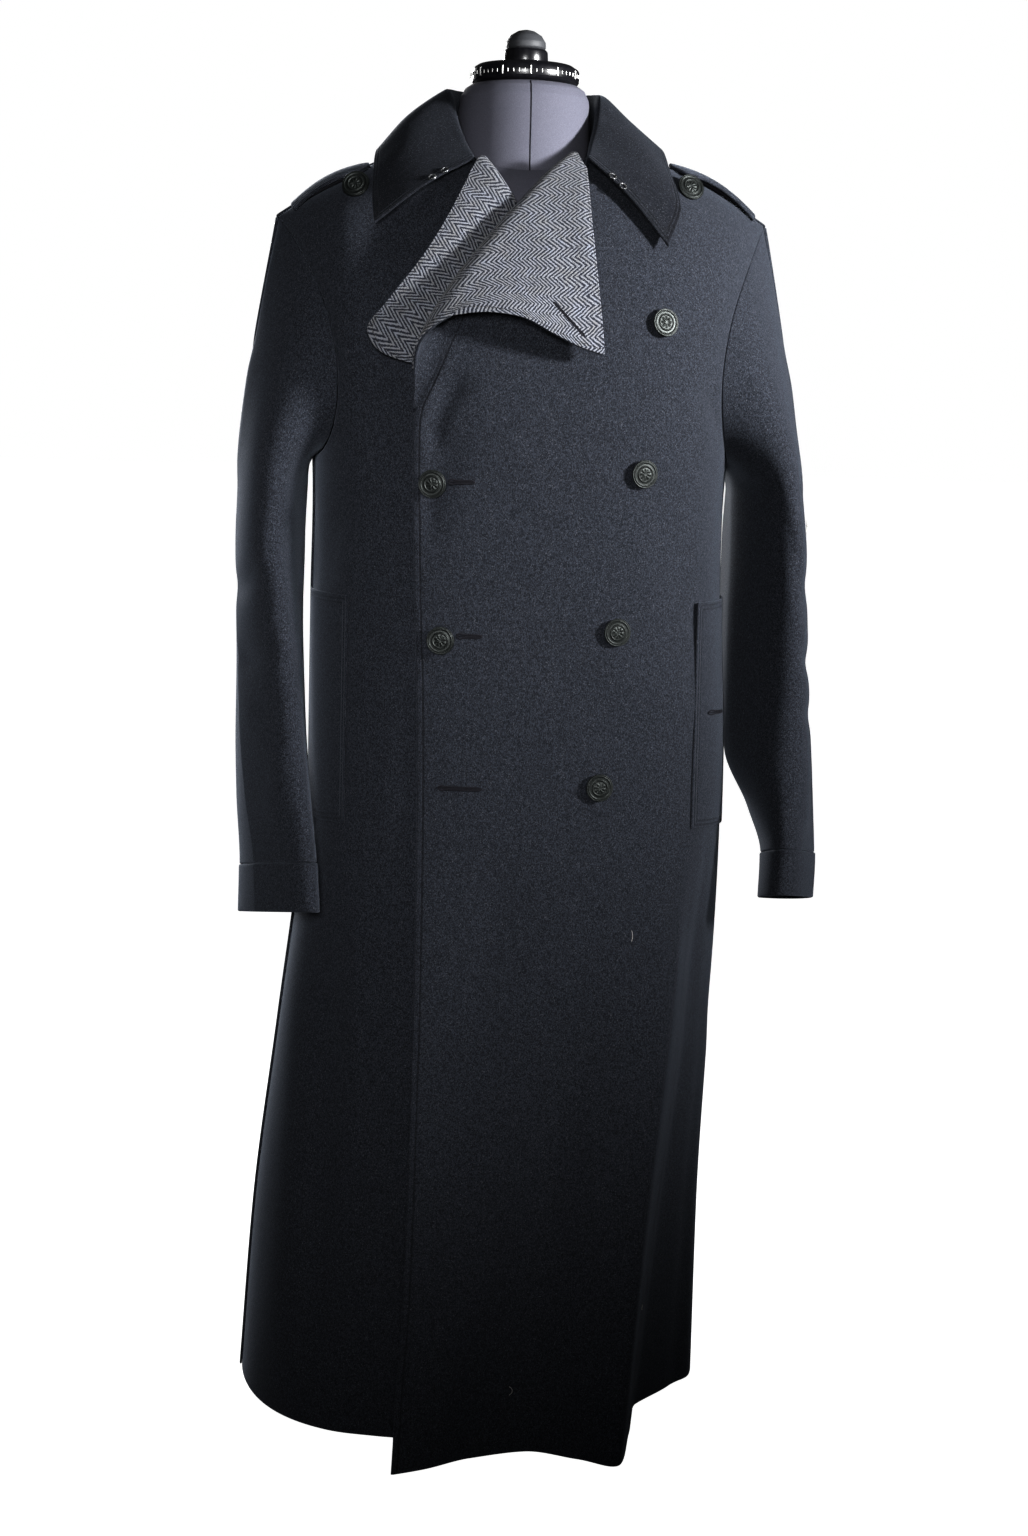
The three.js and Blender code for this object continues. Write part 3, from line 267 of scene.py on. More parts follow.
@dataclass
class Shell:
    """Points, four-sided faces and named pairs of surface coordinates of one mesh."""

    points: Array
    faces: Array
    maps: dict[str, Array] = field(default_factory=dict)

    def plus(self, other: "Shell") -> "Shell":
        """This shell and another one side by side."""
        names = set(self.maps) | set(other.maps)
        zero = {"a": np.zeros((len(self.points), 2)), "b": np.zeros((len(other.points), 2))}
        return Shell(
            np.concatenate([self.points, other.points]),
            np.concatenate([self.faces, other.faces + len(self.points)]),
            {n: np.concatenate([self.maps.get(n, zero["a"]), other.maps.get(n, zero["b"])])
             for n in sorted(names)},
        )

    def mapped(self, label: str, along: Array, away: Array, shift: float = 0.0) -> None:
        """Gives both faces of a cloth a named pair of surface coordinates.

        Args:
            label: name of the map.
            along: first coordinate of each grid point.
            away: second coordinate.
            shift: added to both on the back face.
        """
        pair = np.stack([along, away], -1).reshape(-1, 2)
        self.maps[label] = np.concatenate([pair, pair + shift])

    def outward(self) -> "Shell":
        """The same shell with its faces pointing out."""
        if volume(self.points, self.faces) < 0:
            self.faces = self.faces[:, ::-1]
        return self

    def build(self, name: str, finish: bpy.types.Material, slot: str) -> bpy.types.Object:
        """Makes the mesh object, gives it its finish and rides it on the root body."""
        mesh = bpy.data.meshes.new(name)
        flat = np.ascontiguousarray(self.faces.ravel(), np.int32)
        mesh.vertices.add(len(self.points))
        mesh.loops.add(len(flat))
        mesh.polygons.add(len(self.faces))
        mesh.vertices.foreach_set("co", (self.points * MM).astype(np.float32).ravel())
        mesh.loops.foreach_set("vertex_index", flat)
        mesh.polygons.foreach_set("loop_start", np.arange(0, len(flat), 4, dtype=np.int32))
        mesh.update(calc_edges=True)
        for label, pairs in self.maps.items():
            layer = mesh.uv_layers.new(name=label)
            layer.data.foreach_set("uv", (pairs * MM)[flat].astype(np.float32).ravel())
        mesh.shade_smooth()
        mesh.materials.append(finish)
        obj = placed(name, mesh)
        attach(obj, ROOT)
        return obj


class Rim(Enum):
    """Which borders of a cloth grid are rounded off."""

    ALL = "all"
    ENDS = "ends"


def cloth(
    grid: Array,
    normals: Array,
    top: float | Array,
    painted_shade: float | Array,
    rim: Rim = Rim.ALL,
    closed: bool = False,
) -> Shell:
    """Cloth between two distances off a grid, with its cut edges rounded.

    Near a border the half thickness falls off as a circle: sqrt(1 - (1 - d / r)^2).

    Args:
        grid: points, (rows, cols, 3).
        normals: unit normals, same shape.
        top: distance of the face along the normals.
        painted_shade: distance of the back.
        rim: borders to round.
        closed: whether each row is a ring.
    """
    rows, cols = grid.shape[:2]
    ring = np.concatenate([grid, grid[:, :1]], 1) if closed else grid
    across = lengths(ring)[:, :cols]
    upward = rises(grid)
    near = np.minimum(upward, upward[-1:] - upward)
    if rim is Rim.ALL and not closed:
        near = np.minimum(near, np.minimum(across, across[:, -1:] - across))
    half = (np.asarray(top) - painted_shade) / 2
    radius = np.max(half) * 1.1
    part = np.clip(near / radius, 0, 1)
    fall = np.sqrt(np.clip(1 - (1 - part) ** 2, 0.02, 1))
    offset = (np.asarray(top) + painted_shade) / 2
    middle = grid + normals * (offset[..., None] if np.ndim(top) else offset)
    reach = (half * fall)[..., None] * normals
    points = np.concatenate([(middle + reach).reshape(-1, 3), (middle - reach).reshape(-1, 3)])
    size = rows * cols
    face = quads(rows, cols, closed)
    back = face[:, ::-1] + size

    def skirt(path: Array) -> Array:
        """Faces that join both sides along a border path."""
        a, b = path[:-1], path[1:]
        return np.stack([a, a + size, b + size, b], -1)

    index = np.arange(size).reshape(rows, cols)
    loop = np.concatenate([index, index[:, :1]], 1) if closed else index
    sides = [skirt(loop[0]), skirt(loop[-1])[:, ::-1]]
    if not closed:
        sides += [skirt(index[:, 0])[:, ::-1], skirt(index[:, -1])]
    faces = np.concatenate([face, back, *sides])
    mean = across.mean(0)[None, :] * np.ones((rows, 1))
    lift = upward.mean(1)[:, None] * np.ones((1, cols))
    weave = np.stack([mean, lift], -1).reshape(-1, 2)
    return Shell(points, faces, {"weave": np.concatenate([weave, weave])}).outward()


def lathe(profile: Array, centre: Array, segments: int = 72) -> Shell:
    """Surface turned about a vertical axis: a profile of (radius, height) carried round it."""
    turn = np.linspace(0, 2 * np.pi, segments, endpoint=False)
    r, z = profile[:, 0][:, None], profile[:, 1][:, None]
    points = np.stack([r * np.cos(turn), r * np.sin(turn), z + 0 * turn], -1)
    return Shell(points.reshape(-1, 3) + centre, quads(len(profile), segments, True)).outward()


def seated(shell: Shell, place: Array, axis: Array, spin: float = 0.0) -> Shell:
    """Turns a shell made about +Z so that it stands at a place along an axis."""
    side = unit(np.cross([0.0, 0.0, 1.0] if abs(axis[2]) < 0.9 else [0.0, 1.0, 0.0], axis))
    up = np.cross(axis, side)
    c, s = np.cos(spin), np.sin(spin)
    basis = np.stack([c * side + s * up, -s * side + c * up, axis])
    return Shell(shell.points @ basis + place, shell.faces, shell.maps)


def tube(path: Array, radius: float | Array, sides: int = 10, closed: bool = False) -> Shell:
    """Round cord along a path: each ring lies across the path's direction."""
    if closed:
        tangent = unit(np.roll(path, -1, 0) - np.roll(path, 1, 0))
    else:
        tangent = unit(np.gradient(path, axis=0))
    lead = np.array([0.13, 0.31, 0.94])
    a = unit(np.cross(tangent, lead))
    b = np.cross(tangent, a)
    turn = np.linspace(0, 2 * np.pi, sides, endpoint=False)[None, :, None]
    thick = np.asarray(radius) * np.ones(len(path))
    spoke = a[:, None] * np.cos(turn) + b[:, None] * np.sin(turn)
    ring = path[:, None] + thick[:, None, None] * spoke
    if closed:
        ring = np.concatenate([ring, ring[:1]])
        faces = quads(len(ring), sides, True) % (len(path) * sides)
        return Shell(ring[:-1].reshape(-1, 3), faces).outward()
    tip = np.stack([path[0] + 0 * ring[0], path[-1] + 0 * ring[0]])
    ring = np.concatenate([tip[:1], ring, tip[1:]])
    return Shell(ring.reshape(-1, 3), quads(len(ring), sides, True)).outward()


def finished(obj: bpy.types.Object, *nodes: str) -> bpy.types.Object:
    """Lets a piece stand for CAD nodes and reports it."""
    if nodes:
        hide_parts(*nodes)
    LOG.info("%s: %d faces", obj.name, len(obj.data.polygons))
    return obj


# Finishes.
class Nodes:
    """Small helper that adds shader nodes and joins them."""

    def __init__(self, name: str) -> None:
        """Starts a material with an empty tree and its two end nodes."""
        self.material = bpy.data.materials.new(name)
        self.material.use_nodes = True
        self.tree = self.material.node_tree
        self.tree.nodes.clear()
        self.surface = self.tree.nodes.new("ShaderNodeBsdfPrincipled")
        output = self.tree.nodes.new("ShaderNodeOutputMaterial")
        self.tree.links.new(self.surface.outputs[0], output.inputs[0])

    def join(self, source: Source, target: Socket) -> None:
        """Links a socket, or sets a plain value on the target socket."""
        if isinstance(source, Socket):
            self.tree.links.new(source, target)
        else:
            target.default_value = source

    def finish(self, colour: Socket, bump: Socket,
               **values: float | tuple[float, ...]) -> bpy.types.Material:
        """Joins colour and bump to the surface and sets its other inputs.

        Args:
            colour: base colour.
            bump: normal.
            values: plain inputs by name, with underscores for blanks.
        Returns:
            the finished material.
        """
        self.join(colour, self.surface.inputs["Base Color"])
        self.join(bump, self.surface.inputs["Normal"])
        for name, value in values.items():
            self.surface.inputs[name.replace("_", " ")].default_value = value
        return self.material

    def math(self, operation: str, a: Source, b: Source = 0.0) -> Socket:
        """One math node; returns its output."""
        node = self.tree.nodes.new("ShaderNodeMath")
        node.operation = operation
        self.join(a, node.inputs[0])
        self.join(b, node.inputs[1])
        return node.outputs[0]

    def coords(self) -> Socket:
        """Object coordinates."""
        return self.tree.nodes.new("ShaderNodeTexCoord").outputs["Object"]

    def pair(self, label: str) -> tuple[Socket, Socket]:
        """Both coordinates of a named map, in millimetres."""
        source = self.tree.nodes.new("ShaderNodeUVMap")
        source.uv_map = label
        split = self.tree.nodes.new("ShaderNodeSeparateXYZ")
        self.join(source.outputs[0], split.inputs[0])
        along, away = (self.math("MULTIPLY", split.outputs[k], 1 / MM) for k in (0, 1))
        return along, away

    def noise(self, vector: Socket, scale: float, detail: float = 2.0,
              rough: float = 0.5) -> Socket:
        """Noise value from 0 to 1."""
        node = self.tree.nodes.new("ShaderNodeTexNoise")
        self.join(vector, node.inputs["Vector"])
        node.inputs["Scale"].default_value = scale
        node.inputs["Detail"].default_value = detail
        node.inputs["Roughness"].default_value = rough
        return node.outputs[0]

    def stretched(self, vector: Socket, scale: Tone) -> Socket:
        """Coordinates scaled on each axis."""
        node = self.tree.nodes.new("ShaderNodeMapping")
        self.join(vector, node.inputs[0])
        node.inputs["Scale"].default_value = scale
        return node.outputs[0]

    def band(self, value: Socket, low: float, high: float, to_low: float = 0.0,
             to_high: float = 1.0) -> Socket:
        """Maps a value from one span to another, with soft ends."""
        node = self.tree.nodes.new("ShaderNodeMapRange")
        node.interpolation_type = "SMOOTHSTEP"
        self.join(value, node.inputs[0])
        for k, v in zip((1, 2, 3, 4), (low, high, to_low, to_high)):
            node.inputs[k].default_value = v
        return node.outputs[0]

    def blend(self, share: Source, a: Source, b: Source) -> Socket:
        """Colour between a and b."""
        node = self.tree.nodes.new("ShaderNodeMix")
        node.data_type = "RGBA"
        self.join(share, node.inputs[0])
        for source, socket in ((a, node.inputs[6]), (b, node.inputs[7])):
            self.join((*source, 1.0) if isinstance(source, tuple) else source, socket)
        return node.outputs[2]

    def bump(self, height: Socket, strength: float, distance: float) -> Socket:
        """Normal bent by a height."""
        node = self.tree.nodes.new("ShaderNodeBump")
        node.inputs["Strength"].default_value = strength
        node.inputs["Distance"].default_value = distance
        self.join(height, node.inputs["Height"])
        return node.outputs[0]


@dataclass(frozen=True)
class WoolFinish:
    """Milled navy-black wool: a felted nap over a fine twill, with rows of stitches whose grooves
    are darkened as painted shade.
    """

    name: str
    rows: tuple[float, ...] = ()
    pitch: float = 2.6
    deep: Tone = (0.008, 0.009, 0.012)
    light: Tone = (0.03, 0.034, 0.044)
    fleck: Tone = (0.1, 0.104, 0.118)
    # tone of the painted shade in the stitch grooves
    shade: Tone = (0.003, 0.003, 0.004)
    sheen: float = 0.16
    sheen_tint: tuple[float, ...] = (0.55, 0.62, 0.75, 1.0)
    groove_half: float = 1.5
    relief: float = 0.5

    def make(self) -> bpy.types.Material:
        """Builds the material."""
        n = Nodes(self.name)
        where = n.coords()
        nap = n.noise(n.stretched(where, (1.0, 1.0, 0.45)), 1500.0, 3.0, 0.7)
        patch = n.noise(where, 420.0, 2.0, 0.6)
        fleck = n.noise(where, 1100.0, 1.0, 0.5)
        tone = n.math("ADD", n.math("MULTIPLY", nap, 0.75), n.math("MULTIPLY", patch, 0.25))
        colour = n.blend(n.band(tone, 0.43, 0.59), self.deep, self.light)
        colour = n.blend(n.band(fleck, 0.62, 0.74, 0.0, 0.65), colour, self.fleck)
        height = n.math("MULTIPLY", nap, 0.5)
        for row in self.rows:
            along, away = n.pair("seam")
            wave = n.math("SINE", n.math("MULTIPLY", along, 2 * np.pi / self.pitch))
            near = n.math("ABSOLUTE", n.math("SUBTRACT", away, row))
            groove = n.band(near, 0.0, self.groove_half, 1.0, 0.0)
            thread = n.math("MULTIPLY", n.band(near, 0.25, 0.6, 1.0, 0.0), n.band(wave, -0.5, 0.3))
            height = n.math("SUBTRACT", height, n.math("MULTIPLY", groove, 1.8))
            height = n.math("ADD", height, n.math("MULTIPLY", thread, 1.2))
            # the groove is darkened towards the shade tone: painted shade
            colour = n.blend(n.math("MULTIPLY", groove, 0.55), colour, self.shade)
        return n.finish(colour, n.bump(height, self.relief, 0.0006), Roughness=0.92,
                        Specular_IOR_Level=0.18, Sheen_Weight=self.sheen,
                        Sheen_Roughness=0.45, Sheen_Tint=self.sheen_tint)


@dataclass(frozen=True)
class TweedFinish:
    """Herringbone facing: slanting yarns whose slope turns over at every band, and a row of
    stitches whose dashed grooves are darkened as painted shade.
    """

    name: str = "herringbone_tweed"
    band: float = 7.9
    stroke: float = 4.9
    slant: float = 1.5
    stitch_row: float = 5.2
    stitch_pitch: float = 3.0
    dark: Tone = (0.016, 0.018, 0.026)
    pale: Tone = (0.15, 0.147, 0.141)
    cool: Tone = (0.182, 0.196, 0.235)
    # tone of the painted shade in the stitch row's grooves
    shade: Tone = (0.015, 0.014, 0.014)
    relief: float = 0.6

    def make(self) -> bpy.types.Material:
        """Builds the material from the piece's unrolled coordinates."""
        n = Nodes(self.name)
        u, v = n.pair("grain")
        where = n.coords()
        wobble = n.noise(where, 260.0, 2.0)
        u = n.math("ADD", u, n.math("MULTIPLY", wobble, 1.2))
        ping = n.math("MULTIPLY", n.math("PINGPONG", v, self.band), self.slant)
        phase = n.math("MULTIPLY", n.math("ADD", u, ping), 2 * np.pi / self.stroke)
        wave = n.math("SINE", phase)
        grainy = n.noise(where, 950.0, 2.0, 0.7)
        value = n.math("ADD", n.math("MULTIPLY", wave, 0.5), n.math("MULTIPLY", grainy, 2.4))
        light = n.band(value, 0.85, 1.6)
        tint = n.blend(n.noise(where, 130.0, 1.0), self.pale, self.cool)
        colour = n.blend(light, self.dark, tint)
        along, away = n.pair("seam")
        near = n.math("ABSOLUTE", n.math("SUBTRACT", away, self.stitch_row))
        beat = n.math("SINE", n.math("MULTIPLY", along, 2 * np.pi / self.stitch_pitch))
        groove = n.math("MULTIPLY", n.band(near, 0.1, 1.2, 1.0, 0.0), n.band(beat, -0.9, 0.2))
        # the dashed grooves are darkened towards the shade tone: painted shade
        colour = n.blend(n.math("MULTIPLY", groove, 0.75), colour, self.shade)
        height = n.math("SUBTRACT", light, n.math("MULTIPLY", groove, 1.6))
        return n.finish(colour, n.bump(height, self.relief, 0.0007), Roughness=0.9,
                        Specular_IOR_Level=0.2, Sheen_Weight=0.12)


@dataclass(frozen=True)
class PlainFinish:
    """Metal, plastic, thread or jersey: one tone with fine wear."""

    name: str
    dark: Tone
    light: Tone
    rough: float = 0.5
    metal: float = 0.0
    grain: float = 900.0
    relief: float = 0.1
    specular: float = 0.5

    def make(self) -> bpy.types.Material:
        """Builds the material."""
        n = Nodes(self.name)
        where = n.coords()
        wear = n.noise(where, self.grain, 3.0, 0.6)
        tone = n.blend(n.band(wear, 0.35, 0.7), self.dark, self.light)
        return n.finish(tone, n.bump(wear, self.relief, 0.0004), Roughness=self.rough,
                        Metallic=self.metal, Specular_IOR_Level=self.specular)


@dataclass(frozen=True)
class Finishes:
    """Every finish of the coat, the form and the stand, made once."""

    wool: bpy.types.Material
    stitched: bpy.types.Material
    collar: bpy.types.Material
    flap: bpy.types.Material
    tweed: bpy.types.Material
    pewter: bpy.types.Material
    wire: bpy.types.Material
    jersey: bpy.types.Material
    black: bpy.types.Material
    dome: bpy.types.Material
    white: bpy.types.Material
    thread: bpy.types.Material
    lint: bpy.types.Material
    steel: bpy.types.Material

    @classmethod
    def made(cls) -> "Finishes":
        """Makes them all."""
        return cls(
            wool=WoolFinish("coat_wool").make(),
            stitched=WoolFinish("coat_wool_topstitched", rows=(6.0,)).make(),
            # darker copy of the coat's wool for the shade the collar's upward slope gets: painted
            # shade
            collar=WoolFinish("collar_wool", rows=(3.2, 7.0), deep=(0.004, 0.0045, 0.006),
                              light=(0.015, 0.017, 0.023), sheen=0.1).make(),
            flap=WoolFinish("flap_wool", rows=(3.2, 7.0)).make(),
            tweed=TweedFinish().make(),
            pewter=PlainFinish("pewter", (0.009, 0.0105, 0.01), (0.03, 0.035, 0.034),
                               rough=0.45, metal=0.6, grain=1400.0, relief=0.25).make(),
            wire=PlainFinish("black_wire", (0.006, 0.006, 0.007), (0.35, 0.36, 0.37),
                             rough=0.25, metal=0.6, grain=700.0).make(),
            jersey=PlainFinish("form_jersey", (0.078, 0.079, 0.098), (0.118, 0.118, 0.143),
                               rough=0.85, grain=2200.0, relief=0.5, specular=0.2).make(),
            black=PlainFinish("black_plastic", (0.006, 0.006, 0.008), (0.012, 0.012, 0.014),
                              rough=0.28, grain=300.0, relief=0.03).make(),
            dome=PlainFinish("grey_plastic", (0.035, 0.037, 0.042), (0.06, 0.062, 0.066),
                             rough=0.6, grain=2400.0, relief=0.3).make(),
            white=PlainFinish("white_print", (0.75, 0.75, 0.73), (0.8, 0.8, 0.78),
                              rough=0.6).make(),
            # dark thread for buttonholes and seams, also used for the painted shade sheets under
            # the shoulder straps
            thread=PlainFinish("dark_thread_and_painted_shade", (0.004, 0.004, 0.006), (0.02, 0.02, 0.026),
                               rough=0.8, grain=3000.0, relief=0.6, specular=0.2).make(),
            lint=PlainFinish("lint", (0.3, 0.29, 0.27), (0.45, 0.44, 0.42), rough=0.9).make(),
            steel=PlainFinish("stand_enamel", (0.05, 0.05, 0.053), (0.07, 0.07, 0.073),
                              rough=0.4, metal=0.2, grain=300.0, relief=0.03).make(),
        )


# Shape of the coat.
@dataclass
class Figure:
    """Outer face of the closed coat as a function of angle and level.

    Angle 0 is the front, 90 the viewer's right and 180 the back. The level k is the height up
    to the underarm, then ARM + 100 times the share of the way to the shoulder line.
    """

    hem: float = 22.0
    arm: float = 930.0
    neck_top: float = 1232.0
    shoulder_drop: float = 0.0015
    front_round: float = 2.4
    back_round: float = 3.2
    fold_start: float = 620.0
    wall: float = 2.4
    gap: float = 0.3
    seam: float = 0.04
    # level, left, right, front, back, centre y, squareness
    sections: Array = field(default_factory=lambda: table(
        (22, 257, 197, 195, 185, 20, 0.25), (200, 245, 196, 187, 170, 18, 0.25),
        (380, 224, 200, 176, 152, 15, 0.25), (560, 203, 203, 166, 136, 12, 0.25),
        (650, 197, 202, 162, 126, 10, 0.25), (790, 197, 195, 160, 112, 8, 0.25),
        (880, 196, 193, 160, 108, 6, 0.25), (930, 197, 195, 161, 112, 5, 0.25),
        (955, 204, 200, 162, 118, 5, 0.24), (980, 214, 208, 162, 122, 5, 0.24),
        (1005, 225, 218, 160, 124, 5, 0.24), (1030, 234, 226, 158, 124, 5, 0.24)))
    # angle at the hem, its turn up to the fold start, shift of x and of y at the hem
    folds: Array = field(default_factory=lambda: table(
        (-23, -8, 0, -78), (-15, -4, 1, -62), (-5, 0, 3, -38), (8, 4, 4, -26),
        (20, 10, 4, -50), (32, 18, -2, -78), (40, 17, -8, -22), (49, 14, -16, 30),
        (62, 9, -6, 36), (76, 4, 0, 14), (90, 0, 0, 0)))
    # height, x of the lapped front's edge and roll line
    over_edge: Array = field(default_factory=lambda: table(
        (22, -121), (90, -117), (180, -111), (313, -107), (447, -104), (600, -103),
        (717, -105), (807, -109), (957, -113), (975, -111), (992, -104), (1010, -96),
        (1028, -89), (1058, -75), (1084, -60), (1112, -41), (1144, -16), (1200, 35),
        (1214, 60), (1221, 74), (1240, 79)))
    under_edge: Array = field(default_factory=lambda: table(
        (22, -96), (600, -92), (957, -98), (990, -98), (1030, -64), (1084, -24),
        (1144, 20), (1198, 59), (1212, 72), (1220, 80), (1240, 84)))
    back_edge: Array = field(default_factory=lambda: table(
        (22, 0.16), (1208, 0.16), (1211, 30), (1217, 62), (1223, 80), (1240, 84)))
    armhole_front: float = 30.0
    armhole_back: float = 24.0

    def shoulder(self, x: Array) -> Array:
        """Height of the shoulder line: it falls with the square of x."""
        return self.neck_top - self.shoulder_drop * x * x

    def section(self, k: Array) -> dict[str, Array]:
        """Centre, half width, depths and squareness at a level."""
        left, right, front, back, cy, square = np.moveaxis(read(self.sections, k), -1, 0)
        return {"cx": (right - left) / 2, "w": (right + left) / 2, "front": front,
                "back": back, "cy": cy, "square": square}

    def share(self, k: Array) -> Array:
        """Share of the way from the underarm to the shoulder line."""
        return np.clip((k - self.arm) / 100, 0, 1)

    def point(self, angle: Array, k: Array, folded: bool = False) -> Array:
        """Point of the outer face.

        x is the centre plus the half width times sin. y is the depth times cos, squared off by
        the squareness and closed towards the shoulder as (1 - t^r)^(1/r). The folded skirt
        adds the folds table times (1 - up)^1.2.
        """
        angle, k = np.broadcast_arrays(np.asarray(angle, float), np.asarray(k, float))
        r = self.section(k)
        s, c = np.sin(np.radians(angle)), np.cos(np.radians(angle))
        t = self.share(k)
        rounding = np.where(c > 0, self.front_round, self.back_round)
        close = np.maximum(0, 1 - t**rounding) ** (1 / rounding)
        x = r["cx"] + r["w"] * s
        depth = np.where(c > 0, r["front"], r["back"])
        y = r["cy"] - depth * c * (1 + r["square"] * s * s) * close
        z = np.where(t > 0, self.arm + t * (self.shoulder(x) - self.arm), k)
        if folded:
            up = np.clip((k - self.hem) / (self.fold_start - self.hem), 0, 1)
            lean = self.folds[:, 1].reshape(-1, *([1] * angle.ndim)) * up
            shift = read(self.folds[:, [0, 2, 3]], angle, lean) * ((1 - up) ** 1.2)[..., None]
            x, y = x + shift[..., 0], y + shift[..., 1]
        return np.stack([x, y, z], -1)

    def normal(self, angle: Array, k: Array, folded: bool = False) -> Array:
        """Outward normal, from small steps of angle and level."""
        d = 0.6
        high = np.minimum(np.asarray(k, float) + d, self.arm + 99.9)
        low = high - 2 * d
        a = self.point(angle + d, k, folded) - self.point(angle - d, k, folded)
        b = self.point(angle, high, folded) - self.point(angle, low, folded)
        return unit(np.cross(a, b))

    def level(self, x: Array, z: Array) -> Array:
        """Level of a height at a given x."""
        return np.where(z <= self.arm, z,
                        self.arm + 100 * (z - self.arm) / (self.shoulder(x) - self.arm))

    def angle(self, x: Array, k: Array) -> Array:
        """Angle of an x on the front at a level."""
        r = self.section(k)
        return np.degrees(np.arcsin(np.clip((x - r["cx"]) / r["w"], -1, 1)))

    def chest(self, x: Array, z: Array, folded: bool = False) -> tuple[Array, Array]:
        """Point and normal on the front, by x and height."""
        k = np.minimum(self.level(x, z), self.arm + 99.5)
        a = self.angle(x, k)
        return self.point(a, k, folded), self.normal(a, k, folded)

    def edge_x(self, rows: Array, k: Array, sign: float) -> Array:
        """Where an edge table crosses a level, found by halving."""
        t = self.share(k)
        low, high = np.full(k.shape, -150.0), np.full(k.shape, 150.0)
        for _ in range(40):
            m = (low + high) / 2
            z = self.arm + t * (self.shoulder(m) - self.arm)
            right = read(rows, z)[..., 0] > m
            low, high = np.where(right, m, low), np.where(right, high, m)
        return sign * np.where(k <= self.arm, read(rows, k)[..., 0], (low + high) / 2)

    def armhole(self, k: Array, depth: float) -> Array:
        """Angle that the armhole takes out of the side: depth times sqrt(sin(pi t^0.7))."""
        return depth * np.sqrt(np.maximum(0, np.sin(np.pi * self.share(k) ** 0.7)))

    def inset(self, p: Array) -> Array:
        """How far the under front lies below the lapped one."""
        x, z = p[..., 0], p[..., 2]
        depth = mix(3.1, 11.0, smooth(890, 975, z))
        return depth * smooth(-178, -136, x) * (1 - smooth(1130, 1188, z))

    def levels(self, low: int, high: int) -> Array:
        """Levels from hem to shoulder, crowded at the hem's edge, the underarm and the shoulder."""
        below = self.hem + (self.arm - self.hem) * edged(low, self.arm - self.hem, True, False)
        s = 0.5 - 0.5 * np.cos(np.pi * np.linspace(0, 1, high + 1))
        above = self.arm + 100 * (1 - (1 - s) ** 1.3)
        return np.concatenate([below, above[1:]])


@dataclass(frozen=True)
class Crease:
    """A soft ridge or trough along a line on the cloth, in the piece's own plane."""

    start: tuple[float, float]
    end: tuple[float, float]
    width: float
    depth: float
    bow: float = 0.0


def creased(u: Array, z: Array, creases: tuple[Crease, ...]) -> Array:
    """Sum of creases as a height.

    Each is depth * exp(-(distance / width)^2), faded over the last fifth at both ends, and its
    line bows sideways as a half sine.
    """
    height = np.zeros(np.broadcast(u, z).shape)
    for c in creases:
        a, b = np.array(c.start), np.array(c.end)
        run = b - a
        size = np.hypot(*run)
        along = ((u - a[0]) * run[0] + (z - a[1]) * run[1]) / size**2
        away = ((u - a[0]) * run[1] - (z - a[1]) * run[0]) / size
        away = away - c.bow * np.sin(np.pi * np.clip(along, 0, 1))
        fade = smooth(-0.15, 0.25, along) * (1 - smooth(0.75, 1.15, along))
        height = height + c.depth * np.exp(-((away / c.width) ** 2)) * fade
    return height


class Side(Enum):
    """Side of the wearer; the value is the sign of x."""

    LEFT = 1
    RIGHT = -1


